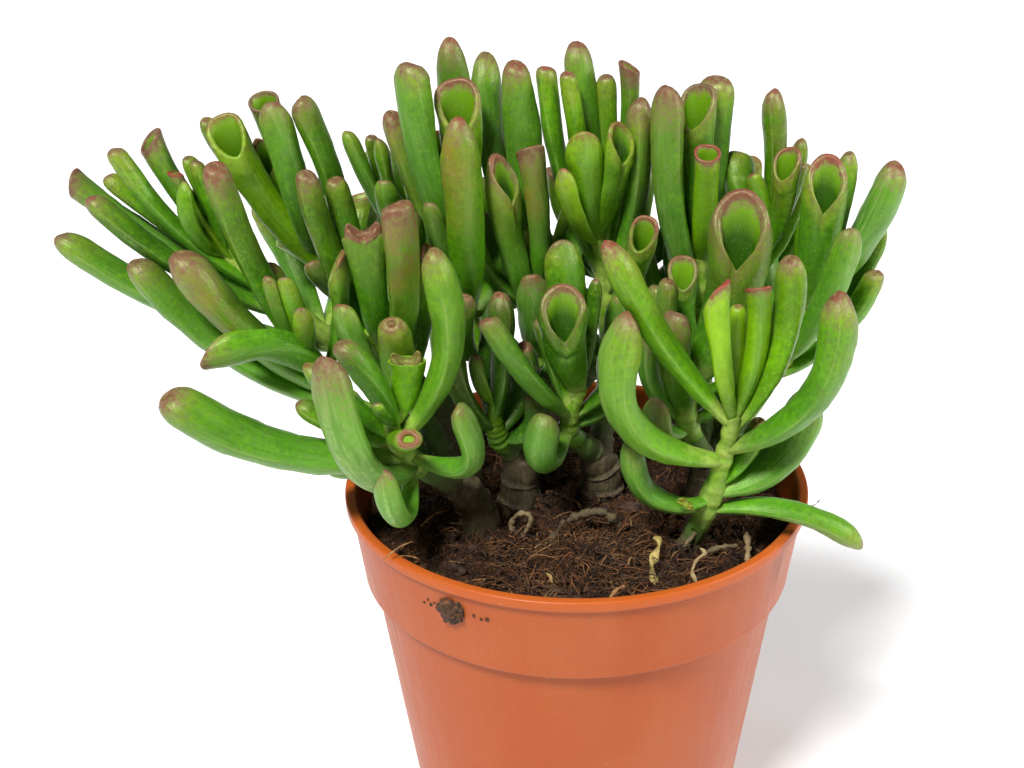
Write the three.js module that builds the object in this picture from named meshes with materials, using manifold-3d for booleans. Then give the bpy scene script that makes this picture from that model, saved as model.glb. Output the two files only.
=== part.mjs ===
// A hobbit jade, a succulent with finger, trumpet and spoon leaves, in a plain plastic nursery pot.
// Millimetres, +Z up. The origin is the middle of the pot's underside, and -Y is the plant's front.
import * as THREE from "three";
import { mergeVertices } from "three/addons/utils/BufferGeometryUtils.js";
import Module from "manifold-3d";

const wasm = await Module();
wasm.setup();

// Driving dimensions of the pot, from its base up.
const pot = {
  height: 105,
  rimRadius: 60,
  lipHeight: 2.6,
  lipStand: 1.2, // how far the lip stands out from the collar
  lipTop: 2.4, // flat width of the lip, seen from above
  collarHeight: 23.5,
  collarStep: 2.2, // how far the collar stands out from the body
  slope: 0.13, // radius gained for each millimetre of height
  wall: 1.5,
  floor: 2.2,
  bevel: 1, // at the foot
  edge: 0.6, // rounding of the lip and of the collar's step
  sides: 34,
};

// Driving dimensions of the soil and of the holes that the trunks stand in.
const soil = {
  level: 97.5, // height at the pot's wall
  mound: 4, // rise from the wall to the middle
  lumps: 0.9,
  waves: [0.23, 0.19, 0.41, 0.37], // lumps for each millimetre, across and along, in two sizes
  fineLumps: 0.6,
  gap: 0.3, // clearance to the pot and to the trunks
  holeFloor: 86,
  holeTop: 115,
  rings: 4,
  sectors: 22,
};

const leafForm = {
  sides: [4, 5, 6], // sides of a section: of small leaves, of most, and of broad ones
  small: 6.3,
  broad: 10,
  stations: [0, 0.28, 0.6, 0.89, 1], // where the sections lie along the leaf
  slimStations: [0, 0.45, 0.88, 1],
  slim: 9.6, // a leaf no wider than this has fewer sections
  thickness: 0.82, // thickness over width
  axisLift: 10, // leaves turn their hollows to a point this far above the stem's top
  inwardRise: 6, // and this much higher than themselves
  faceRise: 0.3, // upward share of a hollow turned to a listed side
  rimStart: 1.3, // how far below the tip the rim's slant starts, in drops of the rim
  rimLead: 0.1, // and in shares of the length
  cupShift: 0.12, // how far a hollow's floor lies toward the outer side, in leaf widths
};

// The five kinds of leaf tip. Girth is the share of full width at each station, slant is how much lower the
// inner side of the rim lies, and cup is how deep the tip is hollowed, both in leaf widths.
const tipKinds = {
  finger: { girth: [0.36, 0.84, 1, 0.88, 0.42], slant: 0.1, cup: 0.1, spread: 1 },
  trumpet: { girth: [0.36, 0.74, 0.84, 0.86, 1], slant: 0.4, cup: 0.6, spread: 1 },
  cup: { girth: [0.36, 0.68, 0.78, 0.96, 1.02], slant: 1, cup: 0.5, spread: 1 },
  spoon: { girth: [0.36, 0.78, 0.96, 1, 0.7], slant: 1.4, cup: 0.35, spread: 1 },
  notch: { girth: [0.36, 0.68, 0.78, 0.9, 1], slant: 0.12, cup: 0.35, spread: 1.25 },
};
const [finger, trumpet, cup, spoon, notch] = Object.keys(tipKinds);

// Woody trunks: the radius, the point where each leaves the soil, its top, and its arms. An arm runs from the
// trunk's top to the point where a green shoot takes over.
const trunks = {
  trunk_left: {
    radius: 4.2,
    path: [[-24, -17, 103], [-30, -18, 114]],
    arms: { front_left: [-37, -24, 120], low_left: [-44, -16, 124], mid_left: [-38, -10, 127] },
  },
  trunk_far_left: {
    radius: 3.8,
    path: [[-29, 4, 103], [-36, 6, 114]],
    arms: { far_left: [-46, 4, 125], tall_left: [-43, 11, 130], high_left: [-35, 12, 131] },
  },
  trunk_middle: {
    radius: 4.6,
    path: [[-14, -9, 104], [-15, -7, 118]],
    arms: { top_left: [-21, -1, 130], top_middle: [-11, 0, 130], low_middle: [-18, -13, 121] },
  },
  trunk_centre: {
    radius: 4.8,
    path: [[7, -2, 104], [6, -2, 115]],
    arms: { centre: [0, -10, 121], top_right: [8, 5, 127] },
  },
  trunk_front_right: {
    radius: 2.8,
    path: [[28, -27, 101], [28, -27, 103]],
    arms: { front_right: [30, -28, 107] },
  },
  trunk_right: {
    radius: 4,
    path: [[33, -4, 103], [34, -3, 113]],
    arms: {
      inner_right: [29, -10, 122],
      mid_right: [33, 3, 125],
      high_right: [39, 7, 126],
      far_right: [43, -1, 123],
    },
  },
  trunk_back: {
    radius: 4,
    path: [[-3, 28, 104], [-3, 29, 114]],
    arms: { back_left: [-14, 32, 123], back_middle: [6, 33, 124] },
  },
  trunk_back_right: {
    radius: 3.2,
    path: [[30, 22, 101], [31, 23, 105]],
    arms: { back_right: [33, 26, 114] },
  },
};

// Green shoots. A stem runs on from its arm and bends to its growing tip, top. Each leaf is listed by where
// it leaves the stem, from 0 at the arm to 1 at the top, then the point that its tip reaches, its width,
// the bow of its belly and its kind. A last number turns the hollow of its tip: 0 to the front, 90 to the
// right. Rear is the number of leaves that the growth rule adds on the far side, and around the number that
// it adds on all sides.
const shoots = {
  front_left: {
    top: [-43, -31, 138],
    leaves: [
      [0.25, [-62, -15, 116], 6.5, 2, finger],
      [0.3, [-95, -34, 144], 12.5, 6, finger],
      [0.4, [-44.5, -43, 125], 6.5, 15, finger],
      [0.35, [-27.5, -33, 141], 7.5, 12, finger],
      [0.5, [-54.5, -43, 158], 11, 10, finger],
      [0.55, [-64.5, -30, 141], 6.5, 1, finger],
      [0.75, [-52.5, -32, 157], 8.5, -4, finger],
      [0.6, [-63.5, -26, 148], 6.5, 1, finger],
      [0.6, [-32.5, -30, 178], 10, 7, finger],
      [0.75, [-37, -46, 139], 6.8, 1, trumpet],
      [0.85, [-41.5, -27, 151], 9, 1, notch, 0],
      [0.95, [-44.5, -34, 143], 3.5, 0, finger],
    ],
    rear: 1,
  },
  low_left: {
    top: [-68, -14, 147],
    leaves: [
      [0.3, [-106, -8, 169], 9.5, 5, finger],
      [0.5, [-93, -16, 173], 11.5, 3, finger],
      [0.55, [-87, -24, 149], 8.5, -8, spoon, 0],
      [0.45, [-79, -4, 139], 7.5, 3, finger],
      [0.75, [-83.5, -14, 192.5], 8.5, 4, finger],
      [0.8, [-69, -18, 166.5], 5, 1, finger],
      [0.9, [-65, -21, 161], 5, 1, finger],
      [0.95, [-72, -17, 167], 4.5, 1, finger],
    ],
    rear: 2,
  },
  far_left: {
    top: [-88, 3, 166],
    leaves: [
      [0.35, [-127, -1, 172], 9, 5, finger],
      [0.55, [-117.5, -2, 182], 7.5, 4, finger],
      [0.6, [-125, 9, 184], 8.5, 2, trumpet, -90],
      [0.7, [-116, 8, 184], 6, 1, finger],
      [0.7, [-109, 0, 193.5], 6.2, 3, finger],
      [0.85, [-102, 5, 196], 8.5, 2, trumpet, -60],
      [0.9, [-96.5, 1, 187], 4.6, 1, trumpet],
      [0.9, [-96, 8, 189.5], 5, 1, finger],
      [0.95, [-92.5, 3, 188.5], 5, 1, finger],
    ],
    rear: 4,
    rearAt: 135,
  },
  tall_left: {
    top: [-74, 7, 168],
    leaves: [
      [0.35, [-64, -4, 166], 6, 2, finger],
      [0.6, [-84, 4, 199], 9.8, 3, cup, 10],
      [0.65, [-89.5, 11, 198], 6, 2, finger],
      [0.7, [-78, 13, 202], 8, 2, trumpet],
      [0.8, [-72.5, 3, 203.5], 8, 3, finger],
      [0.6, [-66, 7, 203.5], 8.2, 3, finger],
      [0.9, [-60.5, 12, 189], 4, 1, trumpet],
    ],
    rear: 3,
    rearAt: 95,
  },
  mid_left: {
    top: [-51, -10, 150],
    leaves: [
      [0.2, [-55, -14, 160], 7, 3, finger],
      [0.45, [-62, -8, 189], 7.2, 3, finger],
      [0.5, [-40.5, -18, 185], 9.5, 3, finger],
      [0.3, [-30, -12, 171], 7, 3, spoon, 60],
      [0.75, [-49.5, -15, 180], 9.5, 2, notch, 0],
      [0.8, [-58.5, -1, 185.5], 6.5, 2, finger],
    ],
    rear: 1,
  },
  high_left: {
    top: [-45, 13, 170],
    leaves: [
      [0.5, [-33.5, 2, 179.5], 6, 2, finger],
      [0.6, [-40, 8, 186.5], 7.5, 2, finger],
      [0.7, [-54.5, 10, 195], 5.4, 1, finger],
      [0.8, [-44, 7, 184], 6, 1, finger],
      [0.85, [-50, 14, 192.5], 4.2, 1, finger],
      [0.9, [-47, 12, 192], 5, 1, finger],
    ],
    rear: 2,
  },
  top_left: {
    top: [-30, 5, 172],
    leaves: [
      [0.2, [-27, -13, 162], 8, 3, finger],
      [0.45, [-26, -7, 202], 9, 5, finger],
      [0.75, [-40, 6, 209], 10.5, 4, finger],
      [0.6, [-35, -3, 181], 5, 1, finger],
      [0.6, [-46, 12, 197], 8.5, 3, finger],
      [0.9, [-29, 7, 206], 11.5, 2, cup, 0],
      [0.8, [-28, 15, 217.5], 8, 2, finger],
      [0.95, [-31, 0, 182], 4.5, 1, finger],
    ],
    rear: 3,
  },
  top_middle: {
    top: [-13, 7, 170],
    leaves: [
      [0.1, [-4, -5, 150], 8.5, 3, finger],
      [0.2, [-13, -9, 162], 9, 3, finger],
      [0.4, [-18.5, -3, 190.5], 9.5, 4, spoon, 40],
      [0.8, [-13.5, 10, 210.5], 8.8, 3, finger],
      [0.6, [-11.5, 6, 192], 7.5, 2, trumpet],
      [0.7, [-21.5, 18, 210.5], 8.2, 2, finger],
      [0.5, [-25, 1, 170], 5.5, 3, finger],
    ],
    rear: 3,
  },
  low_middle: {
    top: [-20, -14, 134],
    leaves: [
      [0.15, [-8, -17, 139], 8, 5, finger],
      [0.3, [-9, -10, 148], 8.5, 4, finger],
      [0.5, [-14, -3, 158], 8.5, 2, finger],
      [0.4, [-29, -20, 152], 7.5, 3, finger],
      [0.6, [-20, -9, 160], 7.5, 2, finger],
      [0.9, [-23, -17, 147], 5, 1, finger],
    ],
  },
  centre: {
    top: [2, -12, 137],
    leaves: [
      [0.35, [12, -5, 140], 7, 4, finger],
      [0.3, [-7, -20, 134], 9, 9, finger],
      [0.55, [-21, -20, 156.5], 7, 5, trumpet],
      [0.6, [-10, -8, 152], 5, 1, finger],
      [0.9, [-3, -15, 164], 10.5, 2, spoon, 0],
      [0.6, [-7.5, -6, 170], 9, 1, spoon, 30],
      [0.8, [4.5, -9, 163], 4, 1, finger],
      [0.5, [12, -10, 146], 6, 3, finger],
    ],
  },
  top_right: {
    top: [5, 8, 168],
    leaves: [
      [0.15, [11, -4, 157], 8, 3, finger],
      [0.2, [-4, 1, 164], 8, 3, finger],
      [0.45, [17.5, -2, 175], 7.5, 2, cup, -20],
      [0.7, [-8, 13, 208], 6.5, 2, finger],
      [0.6, [16.5, 6, 203], 8.5, 3, finger],
      [0.7, [12.5, 12, 210.5], 6.5, 2, trumpet, 90],
      [0.95, [-1.5, 0, 188], 6, 2, finger],
      [0.7, [-2, 9, 207.5], 6, 1, finger],
      [0.97, [3.8, 3, 195.5], 8, 1, spoon, 180],
      [0.99, [8, 2, 197.5], 7.5, 1, spoon, 40],
      [0.75, [0.5, 17, 214], 7.5, 1, finger],
      [0.8, [7, 16, 207], 5.5, 1, finger],
    ],
    rear: 2,
  },
  front_right: {
    top: [36, -34, 139],
    leaves: [
      [0.12, [69, -31, 102.5], 7, -6, finger],
      [0.15, [13.5, -31, 131], 8, 7, finger],
      [0.3, [54, -27, 142], 11.5, 7, finger],
      [0.25, [25, -36, 117], 5, 1, notch],
      [0.35, [43, -31, 136], 6, 2, finger],
      [0.6, [12.8, -38, 166], 11.5, 13, finger],
      [0.7, [57, -35, 169.5], 11, 9, finger],
      [0.92, [6.5, -34, 181], 9, 2, finger],
      [0.85, [47, -28, 175], 8.5, 5, finger],
      [0.95, [41.3, -30, 169.5], 6.2, 4, trumpet],
      [0.97, [30.5, -37, 172.5], 8, 1, cup, -60],
      [0.9, [37, -26, 163], 4.5, 1, finger],
    ],
  },
  inner_right: {
    top: [31, -14, 148],
    leaves: [
      [0.1, [20, -20, 137], 8, 5, finger],
      [0.15, [18, -10, 150], 8, 4, finger],
      [0.2, [43, -12, 146], 7.5, 4, finger],
      [0.3, [23.5, -22, 160], 8.5, 3, finger],
      [0.6, [37.5, -15, 185.5], 13, 4, spoon, -10],
      [0.5, [22, -15, 165], 6.5, 2, finger],
      [0.7, [26, -4, 166], 7.5, 2, cup, 0],
      [0.5, [46, -20, 157], 6.5, 4, finger],
    ],
  },
  mid_right: {
    top: [31, 6, 165],
    leaves: [
      [0.2, [20, 0, 158], 7.5, 3, finger],
      [0.3, [39, -3, 162], 8, 3, finger],
      [0.6, [20.5, 3, 206], 9.5, 4, finger],
      [0.7, [25, 11, 198], 7, 2, finger],
      [0.9, [31, -1, 192.5], 6.8, 2, trumpet],
      [0.75, [35.5, 14, 205.5], 9.5, 1, notch],
      [0.95, [29, 9, 204], 9.5, 1, cup, -35],
      [0.5, [40, -3, 172], 6, 3, finger],
    ],
    rear: 2,
  },
  high_right: {
    top: [45, 13, 166],
    leaves: [
      [0.7, [47, 12, 203.5], 7.5, 2, finger],
      [0.75, [54.5, 14, 190.5], 5.2, 2, finger],
      [0.85, [48, 6, 190.5], 7.5, 2, cup, -40],
      [0.8, [53, 6, 186.5], 5, 1, finger],
      [0.95, [44.5, 7, 184], 4.5, 1, finger],
    ],
    rear: 2,
  },
  far_right: {
    top: [61, 3, 157],
    leaves: [
      [0.3, [74, 3, 160.5], 7, 4, finger],
      [0.5, [76, 12, 170], 7.5, 4, finger],
      [0.4, [64.5, -9, 175.5], 7.5, 4, finger],
      [0.85, [76.5, 4, 187.5], 10.5, 3, notch, 60],
      [0.8, [59.5, -2, 190.5], 9.8, 3, spoon, 0],
      [0.9, [66, 8, 189], 6, 1, finger],
    ],
    rear: 3,
    rearAt: 105,
  },
  back_left: { top: [-36, 40, 154], leaves: [], around: 11 },
  back_middle: { top: [3, 43, 158], leaves: [], around: 11 },
  back_right: { top: [40, 36, 152], leaves: [], around: 11 },
};

const stemForm = {
  sides: 5,
  woodSides: 7,
  stations: [0, 0.25, 0.55, 1],
  armRadius: 3.4, // where an arm leaves its trunk
  greenRadius: 2.7, // where the green starts
  tipRadius: 1.6,
  forkDepth: 0.8, // how deep in its trunk an arm starts, in trunk radii
  slimArm: 0.85, // the most of a trunk's radius that an arm takes
  dome: 0.5, // height and top radius of a trunk's dome, in trunk radii
};

// The growth rule for leaves that stand on the far side: opposite pairs, each pair a quarter turn on from the
// last, long and leaning out low down, short and steep at the growing tip.
const growth = {
  quarterTurn: Math.PI / 2,
  waver: 0.5,
  length: [44, 24], // of the lowest pair and of the top pair, as are width, rise and seat
  lengthDraw: [0.85, 1.1],
  width: [9.6, 6],
  widthDraw: [0.85, 1.15],
  rise: [0.55, 1.25],
  riseDraw: [-0.15, 0.15],
  riseMost: 1.45,
  seat: [0.45, 0.96],
  bow: 4,
  inwardLift: 0.6, // how much steeper a leaf stands that points at the middle of the plant
  inwardTrim: 0.2, // and the share of its length that it lacks
  rearAt: 90, // straight back, in degrees
  rearSpread: 2.2,
  drawStep: 40, // parts the numbers of one draw from those of the next
  kinds: [finger, finger, trumpet, finger, spoon, trumpet, finger, cup],
};

// How leaves make way for each other. They slide mostly along the front-to-back direction.
const makeWay = {
  rounds: 260,
  step: 0.22,
  beads: [0.14, 0.3, 0.46, 0.62, 0.78, 0.94],
  clearance: 1.3, // between leaves of two shoots
  crowding: -0.6, // between leaves of one shoot
  joined: 0.36, // share of a leaf, from its root, that may run into its neighbours on the same stem
  ownStem: 0.5, // share that may touch its own stem
  woodBeads: [0, 0.2, 0.4, 0.6, 0.8, 1],
  woodPush: 2,
  tipStep: 1.2, // the most that a tip moves in a round
  bellyStep: 1.6,
  overSoil: 1,
  overRim: 0.8,
  rimBand: [-6, 5], // how far inside and outside the rim's radius a leaf must clear the rim
  back: new THREE.Vector3(0, 0.92, -0.39),
  sideways: 0.45,
  depthBias: 0.5,
};

const colours = {
  clay: 0xc8693f,
  peat: 0x3a2619,
  bark: 0x6b5a3c,
  green: 0x5c9a2b,
};

const up = new THREE.Vector3(0, 0, 1);
const vec = (p) => new THREE.Vector3(...p);
const lerp = THREE.MathUtils.lerp;
const clamp = THREE.MathUtils.clamp;

// A repeatable number from 0 to 1 for each whole number n.
function scatter(n) {
  const x = Math.sin(n * 12.9898 + 4.1414) * 43758.5453;
  return x - Math.floor(x);
}

// A closed skin through rings with equal numbers of points, with a point closing each end, as a solid.
function skinSolid(rings, startPoint, endPoint) {
  const sides = rings[0].length;
  const points = [startPoint, ...rings.flat(), endPoint];
  const last = points.length - 1;
  const faces = [];
  for (let j = 0; j < sides; j++) {
    const k = (j + 1) % sides;
    faces.push(0, 1 + k, 1 + j);
    for (let r = 0; r < rings.length - 1; r++) {
      const a = 1 + r * sides;
      const b = a + sides;
      faces.push(a + j, a + k, b + k, a + j, b + k, b + j);
    }
    const top = 1 + (rings.length - 1) * sides;
    faces.push(top + j, top + k, last);
  }
  const vertProperties = new Float32Array(points.flatMap((p) => [p.x, p.y, p.z]));
  const made = new wasm.Manifold(
    new wasm.Mesh({ numProp: 3, vertProperties, triVerts: new Uint32Array(faces) }),
  );
  if (made.volume() < 0) throw new Error("a skin is inside out");
  return made;
}

// A round bar through sections, each with its middle, its direction and its radius, as a solid.
function barSolid(sections, sides) {
  let side = new THREE.Vector3(1, 0, 0);
  const rings = sections.map(({ at, along, radius }) => {
    side = side.clone().addScaledVector(along, -side.dot(along)).normalize();
    const other = along.clone().cross(side);
    return Array.from({ length: sides }, (_, j) => {
      const turn = (2 * Math.PI * j) / sides;
      return at
        .clone()
        .addScaledVector(side, radius * Math.cos(turn))
        .addScaledVector(other, radius * Math.sin(turn));
    });
  });
  return skinSolid(rings, sections[0].at, sections.at(-1).at);
}

// The one outer body of a fused solid: sealed hollows are filled and loose scraps dropped.
function outerBody(solid) {
  const bodies = solid.decompose().filter((b) => b.volume() > 0);
  return bodies.sort((a, b) => b.volume() - a.volume())[0];
}

// A leaf's bent centre line, from its root on the stem to its tip.
function leafLine(leaf) {
  return new THREE.QuadraticBezierCurve3(leaf.root, leaf.belly, leaf.tip);
}

// Linear reading of a kind's girth at any share of the length.
function girthAt(kind, s) {
  const { stations } = leafForm;
  const { girth } = tipKinds[kind];
  const i = Math.max(1, stations.findIndex((x) => x >= s - 1e-9));
  const share = (s - stations[i - 1]) / (stations[i] - stations[i - 1]);
  return lerp(girth[i - 1], girth[i], share);
}

// The directions across a leaf at one point: inward faces the shoot's axis, and across lies over the width.
function leafFrame(leaf, along, at) {
  const inward = leaf.axis.clone().sub(at);
  inward.z = Math.max(inward.z, 0) + leafForm.inwardRise;
  if (leaf.face !== undefined) {
    const heading = THREE.MathUtils.degToRad(leaf.face);
    inward.set(Math.sin(heading), -Math.cos(heading), leafForm.faceRise);
  }
  inward.addScaledVector(along, -inward.dot(along)).normalize();
  return { inward, across: inward.clone().cross(along) };
}

// A leaf as a solid: sections along its line, with the rim slanted to the inner side and the tip hollowed.
function leafSolid(leaf) {
  const line = leafLine(leaf);
  const length = line.getLength();
  const { slant, cup, spread } = tipKinds[leaf.kind];
  const drop = (slant * leaf.width) / length;
  const start = 1 - leafForm.rimStart * drop - leafForm.rimLead;
  const size = [leafForm.small, leafForm.broad].filter((w) => leaf.width > w).length;
  const sides = leafForm.sides[size];
  const fullness = Math.sqrt(Math.PI / ((sides / 2) * Math.sin((2 * Math.PI) / sides)));
  const stations = leaf.width > leafForm.slim ? leafForm.stations : leafForm.slimStations;
  const rings = stations.map((s) => {
    const flare = s === 1 ? spread : 1;
    const half = (leaf.width / 2) * fullness * girthAt(leaf.kind, s);
    const ramp = THREE.MathUtils.smoothstep(s, start, 1);
    return Array.from({ length: sides }, (_, j) => {
      const turn = (2 * Math.PI * (j + 0.5)) / sides;
      const inner = ((1 + Math.sin(turn)) / 2) ** 2;
      const here = s - drop * inner * ramp;
      const at = line.getPoint(here);
      const along = line.getTangent(here);
      const { inward, across } = leafFrame(leaf, along, at);
      return at
        .addScaledVector(across, half * flare * Math.cos(turn))
        .addScaledVector(inward, (half * leafForm.thickness * Math.sin(turn)) / flare);
    });
  });
  const bottom = 1 - (0.5 * slant + cup) * (leaf.width / length);
  const at = line.getPoint(bottom);
  const { inward } = leafFrame(leaf, line.getTangent(bottom), at);
  at.addScaledVector(inward, -leafForm.cupShift * leaf.width * Math.min(1, slant));
  return skinSolid(rings, line.getPoint(0), at);
}

// Belly point of a leaf that bows out and down by the given amount.
function bellyPoint(root, tip, bow, axis) {
  const chord = tip.clone().sub(root);
  const middle = root.clone().add(tip).multiplyScalar(0.5);
  const out = new THREE.Vector3(tip.x - axis.x, tip.y - axis.y, 0);
  const sag = out.normalize().add(new THREE.Vector3(0, 0, -1));
  chord.normalize();
  sag.addScaledVector(chord, -sag.dot(chord)).normalize();
  return middle.addScaledVector(sag, 2 * bow);
}

// Leaves that the growth rule adds to a shoot: spread around a heading, or in pairs on all sides.
function ruledLeaves(count, seed, line, axis, heading) {
  const allRound = heading === undefined;
  const pairs = Math.ceil(count / 2);
  return Array.from({ length: count }, (_, k) => {
    const draw = (n) => scatter(seed + k + growth.drawStep * n);
    const drawn = (range, n) => lerp(...range, draw(n));
    const pair = Math.floor(k / 2);
    const level = pairs > 1 ? pair / (pairs - 1) : 0.5;
    const round = pair * growth.quarterTurn + (k % 2) * Math.PI;
    const rear = THREE.MathUtils.degToRad(heading) + growth.rearSpread * ((k + 0.5) / count - 0.5);
    const turn = (allRound ? round : rear) + growth.waver * (draw(0) - 0.5);
    const toMiddle = -(axis.x * Math.cos(turn) + axis.y * Math.sin(turn)) / Math.hypot(axis.x, axis.y);
    const inward = Math.max(0, toMiddle);
    const lift = growth.inwardLift * inward + drawn(growth.riseDraw, 1);
    const rise = Math.min(growth.riseMost, lerp(...growth.rise, level) + lift);
    const full = lerp(...growth.length, level) * drawn(growth.lengthDraw, 2);
    const length = full * (1 - growth.inwardTrim * inward);
    const width = lerp(...growth.width, level) * drawn(growth.widthDraw, 3);
    const root = line.getPoint(lerp(...growth.seat, level));
    const reach = length * Math.cos(rise);
    const way = new THREE.Vector3(reach * Math.cos(turn), reach * Math.sin(turn), length * Math.sin(rise));
    const tip = root.clone().add(way);
    const kind = growth.kinds[Math.floor(growth.kinds.length * draw(4))];
    return { root, tip, width, kind, belly: bellyPoint(root, tip, growth.bow, axis), axis };
  });
}

// All leaves, each knowing its shoot, before they make way for each other.
function sproutLeaves(stemLines) {
  return Object.entries(shoots).flatMap(([name, shoot], index) => {
    const line = stemLines[name];
    const axis = line.getPoint(1).addScaledVector(up, leafForm.axisLift);
    const listed = shoot.leaves.map(([seat, tipPoint, width, bow, kind, face]) => {
      const root = line.getPoint(seat);
      const tip = vec(tipPoint);
      return { root, tip, width, kind, face, belly: bellyPoint(root, tip, bow, axis), axis };
    });
    const seed = 1000 * (index + 1);
    const ruled = ruledLeaves(shoot.rear ?? 0, seed, line, axis, shoot.rearAt ?? growth.rearAt);
    const round = ruledLeaves(shoot.around ?? 0, seed, line, axis);
    return [...listed, ...ruled, ...round].map((leaf) => ({ ...leaf, shoot: name }));
  });
}

// Fixed beads that leaves must clear: along every trunk, arm and stem, each knowing its own shoot.
function woodBeads({ trunkLines, armLines, stemLines }) {
  const along = (line, radius, shoot) =>
    makeWay.woodBeads.map((s) => ({ at: line.getPoint(s), radius, shoot }));
  return [
    ...Object.entries(trunkLines).flatMap(([name, line]) => along(line, trunks[name].radius, null)),
    ...Object.entries(armLines).flatMap(([shoot, line]) => along(line, stemForm.armRadius, shoot)),
    ...Object.entries(stemLines).flatMap(([shoot, line]) => along(line, stemForm.greenRadius, shoot)),
  ];
}

// The direction in which a bead at one place leaves a bead at another: mostly to the front or the back.
function wayOut(from, to) {
  const { back, sideways, depthBias } = makeWay;
  const apart = to.clone().sub(from);
  const depth = apart.dot(back);
  const nudge = depthBias * Math.exp(-depth * depth);
  return apart
    .addScaledVector(back, -depth)
    .multiplyScalar(sideways)
    .addScaledVector(back, depth + nudge)
    .normalize();
}

// Adds to a leaf's next move, so that the place at share s of its length shifts by the given amount.
function nudgeLeaf(move, s, direction, amount) {
  const [byTip, byBelly] = [s * s, 2 * s * (1 - s)];
  const share = (makeWay.step * amount) / (byTip * byTip + byBelly * byBelly);
  move.tip.addScaledVector(direction, share * byTip);
  move.belly.addScaledVector(direction, share * byBelly);
}

// Nudges two leaves apart wherever their beads come too near.
function partLeaves(a, b) {
  const same = a.leaf.shoot === b.leaf.shoot;
  const gap = same ? makeWay.crowding : makeWay.clearance;
  a.beads.forEach((p) => {
    b.beads.forEach((q) => {
      if (same && p.s < makeWay.joined && q.s < makeWay.joined) return;
      const excess = p.radius + q.radius + gap - p.at.distanceTo(q.at);
      if (excess <= 0) return;
      const direction = wayOut(q.at, p.at);
      nudgeLeaf(a.move, p.s, direction, excess);
      nudgeLeaf(b.move, q.s, direction, -excess);
    });
  });
}

// Nudges a leaf off the wood and stems, and up off the soil and the rim.
function clearFixed(a, wood) {
  a.beads.forEach((p) => {
    for (const w of wood) {
      if (w.shoot === a.leaf.shoot && p.s < makeWay.ownStem) continue;
      const excess = p.radius + w.radius + makeWay.clearance - p.at.distanceTo(w.at);
      if (excess > 0) nudgeLeaf(a.move, p.s, wayOut(w.at, p.at), makeWay.woodPush * excess);
    }
    const sunk = clearHeight(p.at) + p.radius - p.at.z;
    if (sunk > 0) nudgeLeaf(a.move, p.s, up, sunk);
  });
}

// Moves tips and bellies, a little at a time, until leaves no longer run through each other.
function clearLeaves(leaves, wood) {
  const states = leaves.map((leaf) => {
    const radiusAt = (s) => (leaf.width / 2) * girthAt(leaf.kind, s);
    return {
      leaf,
      beads: makeWay.beads.map((s) => ({ s, at: new THREE.Vector3(), radius: radiusAt(s) })),
      move: { tip: new THREE.Vector3(), belly: new THREE.Vector3() },
    };
  });
  for (let round = 0; round < makeWay.rounds; round++) {
    for (const { leaf, beads } of states) beads.forEach((p) => leafLine(leaf).getPoint(p.s, p.at));
    states.forEach((a, i) => {
      states.slice(i + 1).forEach((b) => partLeaves(a, b));
      clearFixed(a, wood);
    });
    for (const { leaf, move } of states) {
      leaf.tip.add(move.tip.clampLength(0, makeWay.tipStep));
      leaf.belly.add(move.belly.clampLength(0, makeWay.bellyStep));
      move.tip.set(0, 0, 0);
      move.belly.set(0, 0, 0);
    }
  }
}

// The height that a leaf's underside has to keep over the soil and the pot's rim.
function clearHeight(p) {
  const out = Math.hypot(p.x, p.y);
  const [inside, outside] = makeWay.rimBand;
  if (out > pot.rimRadius + outside) return 0;
  if (out > pot.rimRadius + inside) return pot.height + makeWay.overRim;
  return soilHeight(p.x, p.y) + makeWay.overSoil;
}

// Height of the soil's lumpy top.
function soilHeight(x, y) {
  const out = Math.hypot(x, y) / (pot.rimRadius - 4);
  const mound = soil.mound * Math.cos((Math.PI / 2) * Math.min(1, out)) ** 1.2;
  const [a, b, c, d] = soil.waves;
  const lump = Math.sin(a * x + 1) * Math.cos(b * y) + soil.fineLumps * Math.sin(c * x - d * y);
  return soil.level + mound + soil.lumps * lump * clamp(1.3 - out, 0, 1);
}

// The pot's turned profile, from the middle of the underside, out, up and back down the inside.
function potProfile() {
  const { height: h, rimRadius: r, wall, slope, floor, edge } = pot;
  const collarTop = r - pot.lipStand;
  const collarFoot = collarTop - slope * (pot.collarHeight - pot.lipHeight);
  const bodyTop = collarFoot - pot.collarStep;
  const stepHeight = h - pot.collarHeight;
  const base = bodyTop - slope * stepHeight;
  return [
    [0, 0],
    [base - pot.bevel, 0],
    [base, pot.bevel],
    [bodyTop, stepHeight - edge],
    [collarFoot - edge, stepHeight - edge],
    [collarFoot, stepHeight + edge],
    [collarTop, h - pot.lipHeight - edge / 2],
    [r, h - pot.lipHeight],
    [r, h - edge],
    [r - edge, h],
    [r - pot.lipTop, h],
    [r - pot.lipTop - edge, h - edge],
    [bodyTop - wall, stepHeight - wall],
    [base - wall + slope * floor, floor],
    [0, floor],
  ].map(([x, y]) => new THREE.Vector2(x, y));
}

// A turned geometry as a solid, its axis upright.
function turnedSolid(profile, sides) {
  const geometry = new THREE.LatheGeometry(profile, sides).rotateX(Math.PI / 2);
  geometry.deleteAttribute("normal");
  geometry.deleteAttribute("uv");
  const merged = mergeVertices(geometry, 1e-4);
  return new wasm.Manifold(
    new wasm.Mesh({
      numProp: 3,
      vertProperties: merged.attributes.position.array,
      triVerts: new Uint32Array(merged.index.array),
    }),
  );
}

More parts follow.
